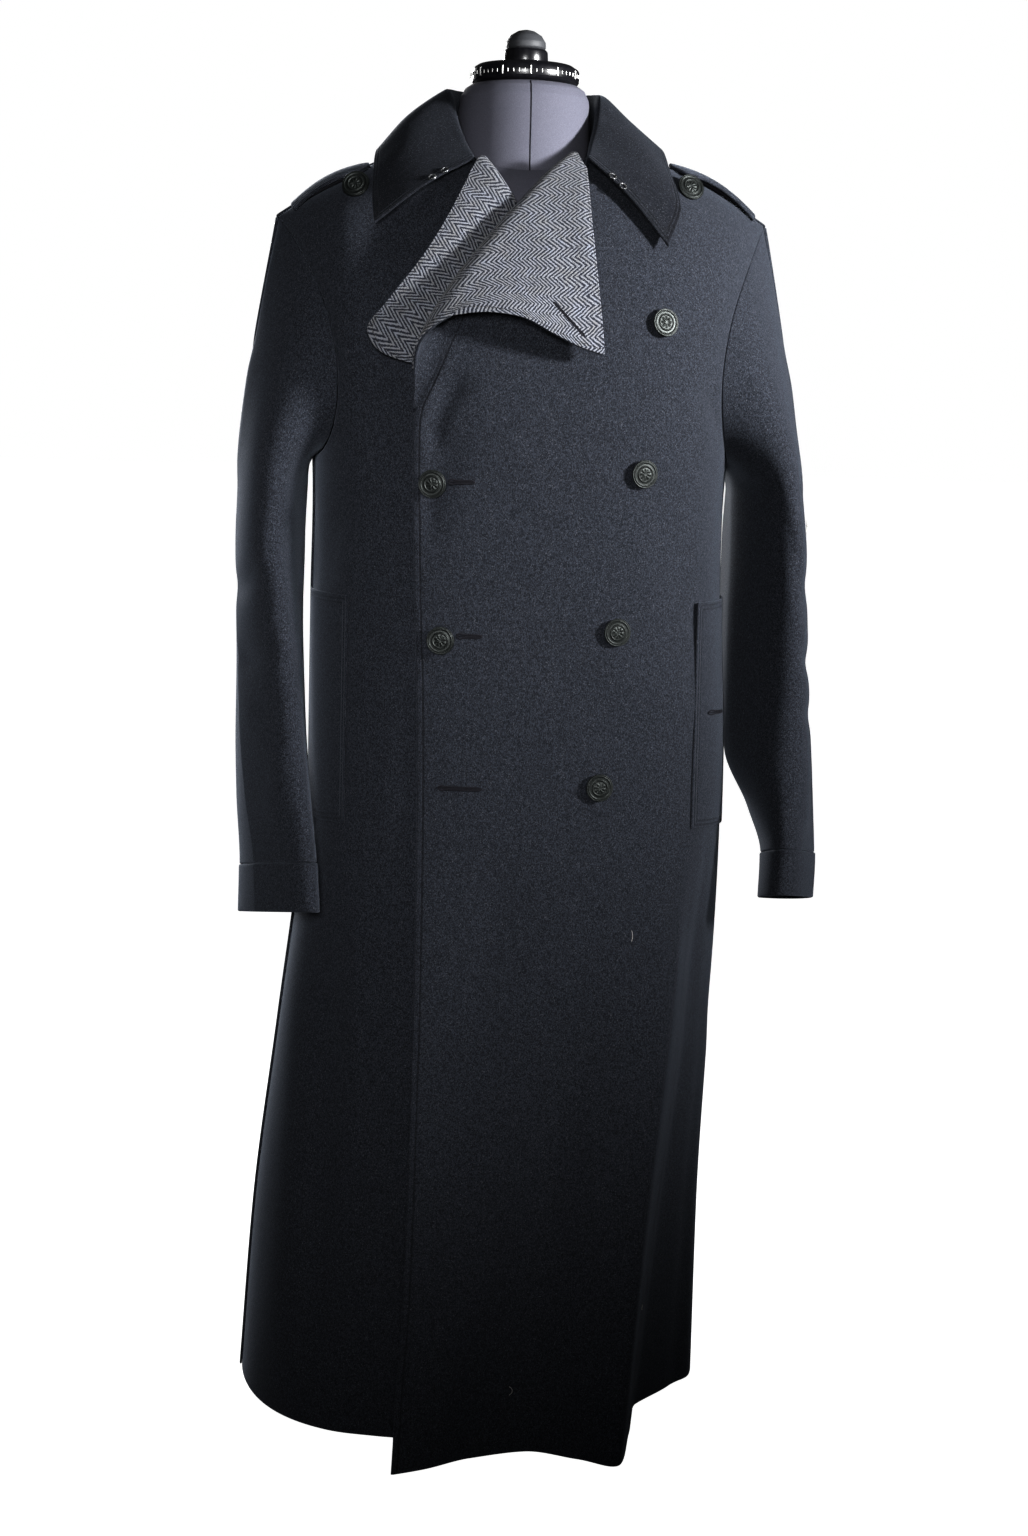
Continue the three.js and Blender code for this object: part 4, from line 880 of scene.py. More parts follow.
# Fronts, lapels and backs.
@dataclass
class Fronts:
    """Both fronts with their lapels, and the tweed facings that show on the lapels."""

    figure: Figure
    finishes: Finishes
    tucked: float = -7.8
    facing: float = 1.0
    # a distance from the edge at which no row of stitches lies
    unstitched: float = 900.0
    # roll height, degrees of roll, roll radius, free edge x and z, stand at the edge, midway
    over_lapel: Array = field(default_factory=lambda: table(
        (975, 12, 14, -108, 978, 0, 0), (992, 38, 15, -100, 1000, 0, 0),
        (1010, 74, 16, -92, 1020, 0, 0), (1028, 118, 16, -84, 1038, 0, 0),
        (1044, 160, 16, -78, 1050, 30, 30), (1058, 180, 15, -62, 1056, 34, 33),
        (1086, 180, 13, -26, 1052, 35, 31), (1112, 180, 11, 4, 1039, 30, 27),
        (1134, 180, 10, 29, 1029, 24, 24), (1150, 180, 9, 50, 1024, 19, 22),
        (1162, 180, 8, 46, 1062, 20, 21), (1174, 180, 7, 41, 1104, 21, 20),
        (1186, 180, 6, 38, 1146, 18, 16), (1198, 180, 5, 38, 1184, 12, 11)))
    under_lapel: Array = field(default_factory=lambda: table(
        (978, 60, 1.5, 84, 980, -7.8, -7.8), (990, 180, 1.5, 70, 984, -7.8, -7.8),
        (1020, 180, 1.5, 0, 994, -7.8, -7.8), (1050, 180, 1.6, -62, 1004, -7.8, -7.8),
        (1078, 180, 1.8, -112, 1015, -4, -7), (1100, 180, 2.6, -141, 1027, 6, -1),
        (1112, 180, 3, -149, 1044, 8, -2.5), (1130, 180, 3.6, -132, 1070, 8, 0),
        (1150, 180, 4.5, -106, 1104, 8, 4), (1170, 180, 5, -82, 1142, 9, 8),
        (1192, 180, 5, -66, 1174, 9, 9)))
    # creases by x and height
    over_creases: tuple[Crease, ...] = (
        Crease((-70, 1004), (-100, 940), 12, -6.0, 6),
        Crease((-70, 960), (-104, 860), 16, -3.5, 6),
        Crease((-84, 1035), (-112, 930), 9, 2.5, 3),
        Crease((-20, 560), (-95, 300), 34, -5.0, -10),
        Crease((60, 420), (0, 90), 30, -5.0, 8),
        Crease((120, 900), (175, 760), 26, -3.0, 6),
        Crease((150, 1010), (200, 955), 14, -2.5, 4),
        Crease((60, 760), (170, 700), 22, 1.8, 6),
        Crease((-40, 200), (-70, 40), 22, 4.0, 4),
        Crease((150, 560), (185, 380), 20, -3.0, 4),
    )
    under_creases: tuple[Crease, ...] = (
        Crease((-176, 520), (-182, 60), 20, -6.0, 8),
        Crease((-205, 420), (-228, 60), 16, 4.0, -6),
        Crease((-150, 480), (-125, 60), 13, 5.0, -4),
        Crease((-168, 900), (-190, 800), 14, -2.5, 4),
        Crease((-150, 1000), (-200, 950), 14, -2.5, -4),
    )

    def panel(self, over: bool) -> Array:
        """Grid of one front from its side seam and armhole to its front edge."""
        f = self.figure
        sign = 1.0 if over else -1.0
        k = f.levels(210, 110)
        end = f.angle(f.edge_x(f.over_edge if over else f.under_edge, k, sign), k)
        start = sign * (90 - f.armhole(k, f.armhole_front))
        share = edged(150 if over else 70, 330 if over else 150)
        a = start[:, None] + (end - start)[:, None] * share
        kk = k[:, None] + 0 * a
        p = f.point(a, kk, over)
        n = f.normal(a, kk, over)
        creases = self.over_creases if over else self.under_creases
        away = np.minimum(1, smooth(0, 0.06, share) * smooth(0, 0.05, 1 - share))
        lift = creased(p[..., 0], p[..., 2], creases) * away * (1 - smooth(1030, 1120, p[..., 2]))
        if not over:
            lift = np.minimum(lift, 6 * smooth(-150, -190, p[..., 0])) - f.inset(p)
        p = p + n * lift[..., None]
        p[..., 1] -= np.where(k >= f.arm + 99, f.gap / 2, 0)[:, None]
        p[:, 0, 1] -= np.where(k <= f.arm, f.seam / 2, 0)
        return p

    def roll_point(self, over: bool, z: Array) -> tuple[Array, Array]:
        """Point and normal on the roll line at a height."""
        f = self.figure
        sign = 1.0 if over else -1.0
        p, n = f.chest(sign * read(f.over_edge if over else f.under_edge, z)[..., 0], z)
        return (p if over else p - n * f.inset(p)[..., None]), n

    def lapel(self, over: bool, rows: int, cols: int) -> tuple[Array, Array, Array]:
        """Lapel from the roll line to its free edge.

        An arc of the roll radius turns the cloth over, then a free part runs to the edge at a
        height over the chest that goes from the arc's to the edge's, bowed to the midway one.

        Returns:
            grid over the cloth's back, normals to the facing's side, and the flat cloth's
            coordinates as it would lie unrolled.
        """
        f = self.figure
        sign = 1.0 if over else -1.0
        rows_of = self.over_lapel if over else self.under_lapel
        keys = rows_of[:, 0]
        height = keys[0] + (keys[-1] - keys[0]) * edged(rows, 200)
        turn, r, ex, ez, stand, mid = np.moveaxis(read(rows_of, height), -1, 0)
        p, n = self.roll_point(over, height)
        along = unit(self.roll_point(over, height + 3)[0] - self.roll_point(over, height - 3)[0])
        away = unit(np.cross(n, along)) * sign
        phase = np.radians(turn)[:, None] * np.linspace(0, 1, 15)
        arc = (p[:, None] + away[:, None] * (r[:, None] * np.sin(phase))[..., None]
               + n[:, None] * (r[:, None] * (1 - np.cos(phase)))[..., None])
        arc_side = -n[:, None] * np.cos(phase)[..., None] + away[:, None] * np.sin(phase)[..., None]
        free = smooth(1040, 1060, height) if over else smooth(978, 990, height)
        q = np.linspace(0, 1, 25)[1:]
        base, base_n = f.chest(p[:, 0], p[:, 2])
        stand0 = ((arc[:, -1] - base) * base_n).sum(-1)[:, None]
        gx = p[:, :1] + (ex - p[:, 0])[:, None] * q
        gz = p[:, 2:] + (ez - p[:, 2])[:, None] * q
        c, cn = f.chest(gx, gz)
        bend = 4 * q * (1 - q)
        halfway = (stand0 + stand[:, None]) / 2
        lift = mix(stand0, stand[:, None], smooth(0, 1, q)) + bend * (mid[:, None] - halfway)
        if not over:
            clear = read(f.over_edge, c[..., 2])[..., 0] - c[..., 0]
            open_ = np.maximum(smooth(2, 42, clear), smooth(1112, 1160, c[..., 2]))
            lift = mix(self.tucked, np.maximum(lift, self.tucked), open_)
        target = c + cn * lift[..., None]
        rest = arc[:, -1:] + (target - arc[:, -1:]) * free[:, None, None]
        lead = (p - away * 2)[:, None]
        path = np.concatenate([lead, arc, rest], 1)
        side = np.concatenate([-n[:, None], arc_side, cn], 1)
        share = edged(cols, 100, False, True)
        grid = relaxed(respaced(path, share), 3 if over else 0)
        convex = unit(respaced(path, share, side))
        normals = grid_normals(grid)
        flip = np.where((normals * convex).sum(-1) < 0, -1.0, 1.0)
        run = lengths(grid)
        flat = p[:, None, ::2] + unit(away[:, None, ::2]) * run[..., None]
        return grid, unit(relaxed(normals * flip[..., None], 10 if over else 0)), flat

    def build(self, over: bool) -> tuple[Array, Array]:
        """One front with its lapel, and the facing over it.

        Returns:
            points and normals of the facing's face.
        """
        f = self.figure
        name = "left" if over else "right"
        panel = self.panel(over)
        sign = -1.0 if over else 1.0
        body = cloth(panel, grid_normals(panel) * sign, 0.0, -f.wall)
        run = lengths(panel)
        away = (run[:, -1:] - run) * np.ones(panel.shape[:2])
        body.mapped("seam", rises(panel), away, self.unstitched)
        grid, normals, flat = self.lapel(over, 110, 46)
        lapel = cloth(grid, normals, f.wall, 0.0)
        lapel.maps["seam"] = np.full((len(lapel.points), 2), self.unstitched)
        front = body.plus(lapel).build(f"front_{name}_wool", self.finishes.stitched, "coat_wool")
        keep = slice(16 if over else 50, None)
        gap = f.wall + f.gap
        facing = cloth(grid[keep, 4:], normals[keep, 4:], gap + self.facing, gap)
        facing.mapped("grain", flat[keep, 4:, 1], flat[keep, 4:, 0])
        run = lengths(grid[keep, 4:])
        facing.mapped("seam", rises(grid[keep, 4:]), run[:, -1:] - run)
        face = facing.build(f"facing_{name}_tweed", self.finishes.tweed, "herringbone_tweed")
        finished(front, f"front_{name}")
        finished(face, f"lapel_facing_{name}")
        return grid[keep, 4:] + normals[keep, 4:] * (gap + self.facing), normals[keep, 4:]


@dataclass
class Backs:
    """Both backs, joined down the middle."""

    figure: Figure
    finishes: Finishes
    creases: tuple[Crease, ...] = (
        Crease((60, 900), (150, 760), 26, -4.0, 8),
        Crease((40, 520), (60, 40), 28, 7.0, 8),
        Crease((110, 480), (150, 40), 30, -6.0, -8),
        Crease((120, 1010), (60, 930), 22, -3.5, 6),
        Crease((150, 1080), (165, 960), 16, 3.0, 4),
    )

    def build(self, side: Side) -> bpy.types.Object:
        """One back from its side seam to the middle seam."""
        f = self.figure
        sign = side.value
        k = f.levels(200, 100)
        x = f.edge_x(f.back_edge, k, sign)
        start = sign * (90 + f.armhole(k, f.armhole_back))
        end = sign * 180 - f.angle(x, k)
        share = edged(80, 220)
        a = start[:, None] + (end - start)[:, None] * share
        kk = k[:, None] + 0 * a
        p, n = f.point(a, kk), f.normal(a, kk)
        uneven = 1.0 if side is Side.LEFT else 0.75
        away = smooth(0, 0.08, share) * smooth(0, 0.05, 1 - share)
        wave = creased(np.abs(p[..., 0]) * uneven, p[..., 2], self.creases) * away
        p = p + n * wave[..., None]
        p[..., 1] += np.where(k >= f.arm + 99, f.gap / 2, 0)[:, None]
        p[:, 0, 1] += np.where(k <= f.arm, f.seam / 2, 0)
        shell = cloth(p, grid_normals(p) * -sign, 0.0, -f.wall)
        name = side.name.lower()
        obj = shell.build(f"back_{name}_wool", self.finishes.wool, "coat_wool")
        return finished(obj, f"back_{name}")


@dataclass
class Sleeve:
    """A sleeve that leaves the armhole and hangs, with its cuff band."""

    figure: Figure
    finishes: Finishes
    side: Side
    proud: float = 0.9
    cuff_wall: float = 3.2
    # height, centre x and y, half thickness, half depth, turn, tilt
    rings: dict[Side, Array] = field(default_factory=lambda: {
        Side.RIGHT: table(
            (500, -227, -50, 23, 80, 24, -0.2), (545, -228, -42, 24, 80, 22, -0.2),
            (610, -233, -24, 28, 83, 18, -0.15), (670, -236, -8, 30, 86, 14, -0.08),
            (730, -237, 1, 31, 88, 10, -0.03), (790, -238, 6, 32, 90, 5, 0),
            (850, -238, 7, 33, 93, 0, 0), (905, -236, 6, 33, 96, 0, 0)),
        Side.LEFT: table(
            (515, 264, -42, 26, 72, -16, -0.22), (558, 266, -34, 26, 74, -14, -0.22),
            (600, 261, -16, 32, 82, -8, -0.16), (650, 249, -3, 41, 88, 2, -0.08),
            (700, 244.5, 2, 38, 88, 8, -0.05), (790, 240.5, 8, 34.5, 90, 9, 0),
            (850, 238.5, 8, 32, 93, 8, 0), (905, 236, 6, 31, 96, 4, 0))})
    # creases by share round the sleeve (times 300) and height
    creases: tuple[Crease, ...] = (
        Crease((90, 830), (160, 800), 14, -2.5, 4), Crease((80, 760), (150, 735), 12, -3.0, 3),
        Crease((60, 700), (130, 690), 12, -2.5, -3), Crease((150, 1040), (165, 900), 16, 2.5, 6),
        Crease((60, 900), (100, 780), 12, -2.0, 5), Crease((200, 960), (230, 840), 16, -3.0, 6),
        Crease((210, 780), (250, 700), 15, -3.5, -5), Crease((100, 660), (120, 590), 14, 2.0, 3),
    )

    def ring(self, z: Array, share: Array, extra: float = 0.0) -> Array:
        """Ring point: share 0 is the inner side, a quarter the front, a half the outer side.

        It is an ellipse pinched at its diagonals, turned about the vertical and tilted by y.
        """
        cx, cy, hx, hy, turn, tilt = np.moveaxis(read(self.rings[self.side], z), -1, 0)
        f = 2 * np.pi * share
        pinch = 1 - 0.1 * np.abs(np.sin(2 * f))
        lx = -self.side.value * (hx + extra) * np.cos(f) * pinch
        ly = -(hy + extra) * np.sin(f)
        c, s = np.cos(np.radians(turn)), np.sin(np.radians(turn))
        x, y = lx * c - ly * s, lx * s + ly * c
        return np.stack([cx + x, cy + y, z + tilt * y], -1)

    def grids(self) -> tuple[Array, Array]:
        """Sleeve grid from armhole to cuff seam, and the cuff's grid.

        The head is a cubic from each armhole point, leaving along the body's own slope at the
        shoulder and squarely at the underarm, to the highest ring of the table.
        """
        f, side = self.figure, self.side.value
        up = f.arm + 100 * (0.5 - 0.5 * np.cos(np.pi * np.linspace(0, 1, 61)))
        k = np.concatenate([up, up[1:-1][::-1]])
        front = np.arange(len(k)) < len(up)
        half = len(up) - 1
        angle = side * np.where(front, 90 - f.armhole(k, f.armhole_front),
                                90 + f.armhole(k, f.armhole_back))
        p = f.point(angle, k)
        run = lengths(np.concatenate([p, p[:1]])[None])[0]
        tangent = unit(np.roll(p, -1, 0) - np.roll(p, 1, 0))
        nudge = np.where(np.arange(len(k)) == half, -side * 4.0, 0.0)
        n = f.normal(angle + nudge, np.clip(k, f.arm + 0.6, f.arm + 96))
        n = unit(n - tangent * (n * tangent).sum(-1, keepdims=True))
        out = unit(np.cross(tangent, n))
        centre = (p[half] + p[0]) / 2 + np.array([side * 60, 0, 0])
        out *= np.where((out * (centre - p)).sum(-1, keepdims=True) < 0, -1.0, 1.0)
        share = np.where(np.arange(len(k)) <= half, 0.5 * run[:-1] / run[half],
                         0.5 + 0.5 * (run[:-1] - run[half]) / (run[-1] - run[half]))
        outer = 0.5 - 0.5 * np.cos(2 * np.pi * share)
        steep = mix(88, 34, smooth(0, 0.5, outer))
        lean = np.radians(mix(steep, 14, smooth(0.5, 1, outer)))[:, None]
        leave = out * np.cos(lean) + n * np.sin(lean)
        start = p + out * (f.gap + 0.2)
        v = edged(44, 120, True, False)[:-1, None, None]
        v2, v3 = v * v, v**3
        top = self.rings[self.side][-1, 0]
        end = self.ring(np.full(share.shape, top), share)
        m0 = leave * mix(16, 72, outer)[:, None]
        m1 = np.stack([0 * outer, 0 * outer, -mix(20, 190, outer)], -1)
        head = (start * (2 * v3 - 3 * v2 + 1) + m0 * (v3 - 2 * v2 + v)
                + end * (3 * v2 - 2 * v3) + m1 * (v3 - v2))
        low, seam = self.rings[self.side][:2, 0]
        drop = top + (seam + f.gap - top) * edged(95, 340, False, True)
        lower = self.ring(drop[:, None] + 0 * share, share[None] + 0 * drop[:, None])
        cuff_z = seam + (low - seam) * edged(14, seam - low)
        cuff = self.ring(cuff_z[:, None] + 0 * share, share[None] + 0 * cuff_z[:, None], self.proud)
        grid = np.concatenate([head, lower])
        z = grid[..., 2]
        normals = grid_normals(grid, True)
        sign = self.outer_sign(grid, normals)
        wave = creased(share * 300 + 0 * z, z, self.creases)
        wave = wave * (1 - smooth(1000, 1060, z)) * smooth(560, 600, z)
        return grid + normals * (sign * wave)[..., None], cuff

    @staticmethod
    def outer_sign(grid: Array, normals: Array) -> float:
        """1 where the normals of a ring grid point out of it, else -1."""
        last = grid[-1]
        return 1.0 if float(((last - last.mean(0)) * normals[-1]).sum()) > 0 else -1.0

    def build(self) -> list[bpy.types.Object]:
        """Sleeve and cuff."""
        grid, cuff = self.grids()
        name = self.side.name.lower()
        made = []
        halves = (f"sleeve_{name}_top", f"sleeve_{name}_under")
        for part, points, wall, nodes in (
            ("sleeve", grid, self.figure.wall, halves),
            ("cuff", cuff, self.cuff_wall, (f"cuff_{name}",)),
        ):
            normals = grid_normals(points, True)
            normals = normals * self.outer_sign(points, normals)
            shell = cloth(points, normals, 0.0, -wall, Rim.ENDS, True)
            obj = shell.build(f"{part}_{name}_wool", self.finishes.wool, "coat_wool")
            made.append(finished(obj, *nodes))
        return made


# Collar.
@dataclass
class Collar:
    """One wall that stands on the neckline and falls over its fold."""

    figure: Figure
    finishes: Finishes
    wall: float = 2.6
    neck: tuple[float, float] = (-6.0, 5.0)
    # share of the neckline, fold x y z, outer edge x y z, belly
    stations: Array = field(default_factory=lambda: table(
        (0.0, -59, -92, 1200, -150, -112, 1139, 6), (0.09, -66, -66, 1216, -151, -82, 1164, 7),
        (0.2, -74, -32, 1243, -149, -48, 1192, 8), (0.32, -78, 12, 1272, -143, 2, 1213, 6),
        (0.41, -58, 66, 1277, -110, 84, 1206, 7), (0.5, -6, 88, 1278, -6, 134, 1190, 6),
        (0.59, 46, 66, 1277, 96, 86, 1208, 7), (0.68, 66, 12, 1272, 122, 0, 1223, 0),
        (0.8, 60, -32, 1247, 125, -60, 1195, 6), (0.91, 50, -66, 1220, 129, -98, 1164, 6),
        (1.0, 43, -96, 1203, 114, -126, 1126, 5)))

    def neckline(self) -> Array:
        """Neck edge of the fronts and backs, from the viewer's left front round the back."""
        f = self.figure
        k = np.linspace(f.arm + 90, f.arm + 100, 24)

        def edge(rows: Array, sign: float, back: bool) -> Array:
            """One panel's share of the neck edge."""
            a = f.angle(f.edge_x(rows, k, sign), k)
            return f.point(180 - a if back else a, k)

        painted_shade, over = edge(f.under_edge, -1, False), edge(f.over_edge, 1, False)
        right, left = edge(f.back_edge, -1, True), edge(f.back_edge, 1, True)
        right, left = (e[np.abs(e[:, 0]) > 1] for e in (right, left))
        middle = f.point(np.array([180.0]), f.level(np.array([0.0]), np.array([1209.0])))
        return np.concatenate([painted_shade[painted_shade[:, 2] >= 1196], right[::-1], middle, left,
                               over[over[:, 2] >= 1198][::-1]])

    def grid(self, cols: int, rows: int) -> Array:
        """Collar grid: stations round the neck by points from seam over the fold to the edge."""
        share = edged(cols, 420)
        seam = respaced(self.neckline()[None], share)[0]
        g = read(self.stations, share)
        fold, edge, belly = g[:, :3], g[:, 3:6], g[:, 6:]
        out = fold - np.array([*self.neck, 0.0])
        out[:, 2] = 0
        out = unit(out)
        leaf = edge - fold
        lift = out * 0.8 + np.array([0, 0, 0.6])
        knots = np.stack([
            seam - out + [0, 0, 0.8], fold - out * 5.5 - [0, 0, 7], fold - out * 3 - [0, 0, 1.6],
            fold, fold + leaf * 0.07 + lift * 2, fold + leaf * 0.5 + lift * belly, edge], 1)
        return respaced(spline(knots, 24), edged(rows, 130, False, True))

    def build(self) -> bpy.types.Object:
        """Collar with its rows of stitches near the edges, in the darker collar wool that paints
        its shade.
        """
        grid = self.grid(170, 80)
        normals = grid_normals(grid)
        middle = normals[grid.shape[0] // 2, -12]
        normals = normals * (1.0 if middle[2] > 0 else -1.0)
        shell = cloth(grid, normals, 0.0, -self.wall)
        run = lengths(grid)
        outer = run[:, -1:] - run
        round_ = rises(grid)
        ends = np.minimum(round_, round_[-1:] - round_)
        near = np.minimum(outer, ends)
        shell.mapped("seam", np.where(outer < ends, round_, run), near)
        return finished(shell.build("collar_wool", self.finishes.collar, "coat_wool"), "collar")

    def wires(self) -> list[bpy.types.Object]:
        """Two eyes and two hooks at the collar's front ends."""
        grid = self.grid(24, 10)
        made = []
        spots = (("collar_eye_upper", 3, 0.42), ("collar_eye_lower", 3, 0.34),
                 ("collar_hook_upper", -4, 0.34), ("collar_hook_lower", -4, 0.42))
        normals = grid_normals(grid)
        for name, row, share in spots:
            col = int(share * grid.shape[1])
            n = normals[row, col] * (-1.0 if normals[row, col][1] > 0 else 1.0)
            turn = np.linspace(0, 2 * np.pi, 28, endpoint=False)
            ring = np.stack([3.2 * np.cos(turn), 3.2 * np.sin(turn), 0 * turn], -1)
            shell = seated(tube(ring, 0.8, 10, True), grid[row, col] + n * 1.1, n)
            obj = shell.build(name + "_wire", self.finishes.wire, "black_wire")
            made.append(finished(obj, name))
        return made


# Straps, flaps and buttons.
@dataclass
class Button:
    """Domed button on a shank: raised rings round a many-petalled middle."""

    radius: float = 12.7
    segments: int = 64
    petals: int = 8
    petal_height: float = 0.4

    def shell(self) -> Shell:
        """Turned profile with petals: 0.4 cos(8 angle) high, most at 3.4 mm from the middle."""
        r = self.radius
        front = table(
            (0.02, 7.6), (2, 7.7), (4, 7.5), (5.6, 7.25), (6.2, 7.1), (6.5, 7.6), (6.9, 7.95),
            (7.3, 7.6), (7.6, 7.0), (8.6, 6.95), (9.8, 6.9), (10.1, 7.3), (10.5, 7.6),
            (10.9, 7.3), (11.2, 6.8), (11.6, 6.9), (12.0, 7.2), (12.4, 6.9), (r, 6.2), (r, 5.6),
            (12.2, 5.1), (8, 4.4), (3.2, 3.8), (2.6, 3.2), (2.6, 0.1), (0.02, 0.0))
        turn = np.linspace(0, 2 * np.pi, self.segments, endpoint=False)
        fine = respaced(np.c_[front, 0 * front[:, 0]][None], np.linspace(0, 1, 70))[0][:, :2]
        rr, zz = fine[:, :1], fine[:, 1:]
        near = np.exp(-(((rr - 3.4) / 1.4) ** 2)) * (zz > 6)
        petal = self.petal_height * np.cos(self.petals * turn) * near
        points = np.stack([rr * np.cos(turn), rr * np.sin(turn), zz + petal], -1)
        return Shell(points.reshape(-1, 3), quads(len(fine), self.segments, True)).outward()


@dataclass
class Trims:
    """Shoulder straps, pocket flaps, buttons and buttonholes."""

    figure: Figure
    finishes: Finishes
    air: float = 0.45
    strap: dict[str, float] = field(default_factory=lambda: {
        "tip_left": 128.0, "tip_right": 150.0, "end_left": 213.0, "end_right": 221.0,
        "half": 22.0, "thick": 3.2, "end_y": 2.0, "tip_y": -26.0, "bow": 5.0, "lean": 0.9})
    strap_buttons: dict[Side, tuple[float, float]] = field(default_factory=lambda: {
        Side.LEFT: (141.0, -60.0), Side.RIGHT: (-163.0, -54.0)})
    flap: dict[str, float] = field(default_factory=lambda: {
        "low": 594.0, "high": 805.0, "thick": 1.7, "right_x": 155.0, "left_x": -166.0})
    buttons: tuple[tuple[str, float, float], ...] = (
        ("button_right_1", 110, 1057), ("button_right_2", 94, 923), ("button_right_3", 74, 780),
        ("button_right_4", 62, 638), ("button_left_1", -94, 910), ("button_left_2", -84, 770))
    holes: tuple[tuple[float, float, float], ...] = (
        (-81.0, -58.0, 912.0), (-70.0, -48.0, 774.0), (-84.0, -45.0, 635.0))
    lapel_hole: tuple[tuple[float, float], ...] = ((34.0, 1042.0), (6.0, 1071.0))
    # degrees round the body and heights
    flap_slot: tuple[tuple[float, float], ...] = ((58.0, 701.0), (72.0, 698.0))
    # x, height, reach and bow of stray threads
    threads: tuple[tuple[float, ...], ...] = (
        (-14.0, 81.0, 4.0, 3.0), (115.0, 156.0, 2.5, -1.5), (96.0, 500.0, 5.0, 1.0))

    def on_shoulder(self, x: Array, y: Array) -> Array:
        """Point of the coat's top at an x and y."""
        f = self.figure
        k = np.full(np.broadcast(x, y).shape, f.arm + 90)
        for _ in range(12):
            r = f.section(k)
            s = np.clip((x - r["cx"]) / r["w"], -0.995, 0.995)
            front = y < r["cy"]
            power = np.where(front, f.front_round, f.back_round)
            depth = np.where(front, r["front"], r["back"])
            depth = depth * np.sqrt(1 - s * s) * (1 + r["square"] * s * s)
            e = np.clip(np.abs(y - r["cy"]) / depth, 0, 1)
            k = f.arm + 100 * np.maximum(0, 1 - e**power) ** (1 / power)
        z = f.arm + (k - f.arm) / 100 * (f.shoulder(x) - f.arm)
        return np.stack([x + 0 * k, y + 0 * k, z], -1)

    def strap_grid(self, side: Side, narrower: float = 0.0) -> tuple[Array, Array, Array]:
        """Strap from the armhole seam to its pointed tip, as it would lie on the shoulder.

        Returns:
            grid, upward normals, and its bow over the shoulder: bow * sin(pi * share).
        """
        s = self.strap
        share = edged(60, 90)[:, None]
        across = (edged(26, 48) * 2 - 1)[None]
        point = mix(1, 0.3, (np.maximum(share - 0.8, 0) / 0.2) ** 1.4)
        half = (s["half"] - narrower) * point
        w = across * half
        y = mix(s["end_y"], s["tip_y"], share) + w
        name = side.name.lower()
        end = s["end_" + name] - 12 * smooth(5, 45, np.abs(y))
        grid = self.on_shoulder(side.value * mix(end, s["tip_" + name], share), y)
        normals = grid_normals(grid)
        normals = normals * (1.0 if normals[30, 14, 2] > 0 else -1.0)
        return grid, normals, s["bow"] * np.sin(np.pi * share)

    def build_straps(self) -> list[bpy.types.Object]:
        """Both straps with their buttons, and under each strap a dark sheet that stands for the
        shadow of its gap: painted shade.
        """
        made = []
        for side in Side:
            name = side.name.lower()
            flat, n, bow = self.strap_grid(side)
            grid = flat + n * bow[..., None]
            shell = cloth(grid, n, self.air + self.strap["thick"], self.air)
            run = lengths(grid)
            edge = np.minimum(run, run[:, -1:] - run)
            up = rises(grid)
            shell.mapped("seam", up, np.minimum(edge, up[-1:] - up))
            obj = shell.build(f"strap_{name}_wool", self.finishes.flap, "coat_wool")
            made.append(finished(obj, f"shoulder_strap_{name}"))
            # a narrower dark sheet fills the space under the bowed strap and stands for the shadow
            # beneath it: painted shade
            flat, n, bow = self.strap_grid(side, 4.5)
            filled = self.air + np.maximum(bow - 0.3, 0.4) + 0 * flat[..., 0]
            shade_sheet = cloth(flat, n, filled, self.air)
            shade_sheet = shade_sheet.build(f"strap_{name}_under", self.finishes.thread, "coat_wool")
            made.append(finished(shade_sheet))
            x, y = self.strap_buttons[side]
            spot = np.array([(x, y), (x + 1, y), (x, y + 1)])
            here, beside, behind = self.on_shoulder(spot[:, 0], spot[:, 1])
            out = unit(np.cross(beside - here, behind - here))
            lean = unit(out - np.array([0, self.strap["lean"], 0]))
            button = seated(Button().shell(), here + out * 0.2, lean).build(
                f"strap_button_{name}_pewter", self.finishes.pewter, "pewter")
            made.append(finished(button, f"strap_button_{name}"))
        return made

    def build_flaps(self) -> list[bpy.types.Object]:
        """Side pocket flaps, wide across the side seam."""
        f = self.figure
        made = []
        for side in Side:
            left = side is Side.LEFT
            share = edged(44, 118)
            z = mix(self.flap["low"], self.flap["high"], edged(90, 211))[:, None]
            x = self.flap["right_x"] if left else self.flap["left_x"]
            a0 = f.angle(x, z)
            up = (z - self.flap["low"]) / (self.flap["high"] - self.flap["low"])
            grid = f.point(a0 + side.value * 34 * share, z - 8 * share * (1 - up), left)
            n = grid_normals(grid)
            n = n * (1.0 if (n[45, 20] * [side.value, -0.6, 0]).sum() > 0 else -1.0)
            shell = cloth(grid, n, self.air + self.flap["thick"], self.air)
            run = lengths(grid)
            height = rises(grid)
            near = np.minimum(run, np.minimum(height, height[-1:] - height))
            shell.mapped("seam", np.where(run < height, height, run), near)
            name = "left" if left else "right"
            obj = shell.build(f"pocket_flap_{name}_wool", self.finishes.flap, "coat_wool")
            made.append(finished(obj, f"pocket_flap_{name}"))
        return made

    def build_buttons(self) -> list[bpy.types.Object]:
        """Front buttons."""
        made = []
        for i, (name, x, z) in enumerate(self.buttons):
            p, n = self.figure.chest(np.array(float(x)), np.array(float(z)))
            shell = seated(Button().shell(), p - n * 0.6, n, 0.7 * i)
            obj = shell.build(name + "_pewter", self.finishes.pewter, "pewter")
            made.append(finished(obj, name))
        return made

    def build_holes(self, lapel: tuple[Array, Array]) -> list[bpy.types.Object]:
        """Worked buttonholes on the front and on the turned lapel, and the flap's slot.

        Args:
            lapel: points and normals of the lapel facing's face.
        """
        chest = self.figure.chest
        f = self.figure

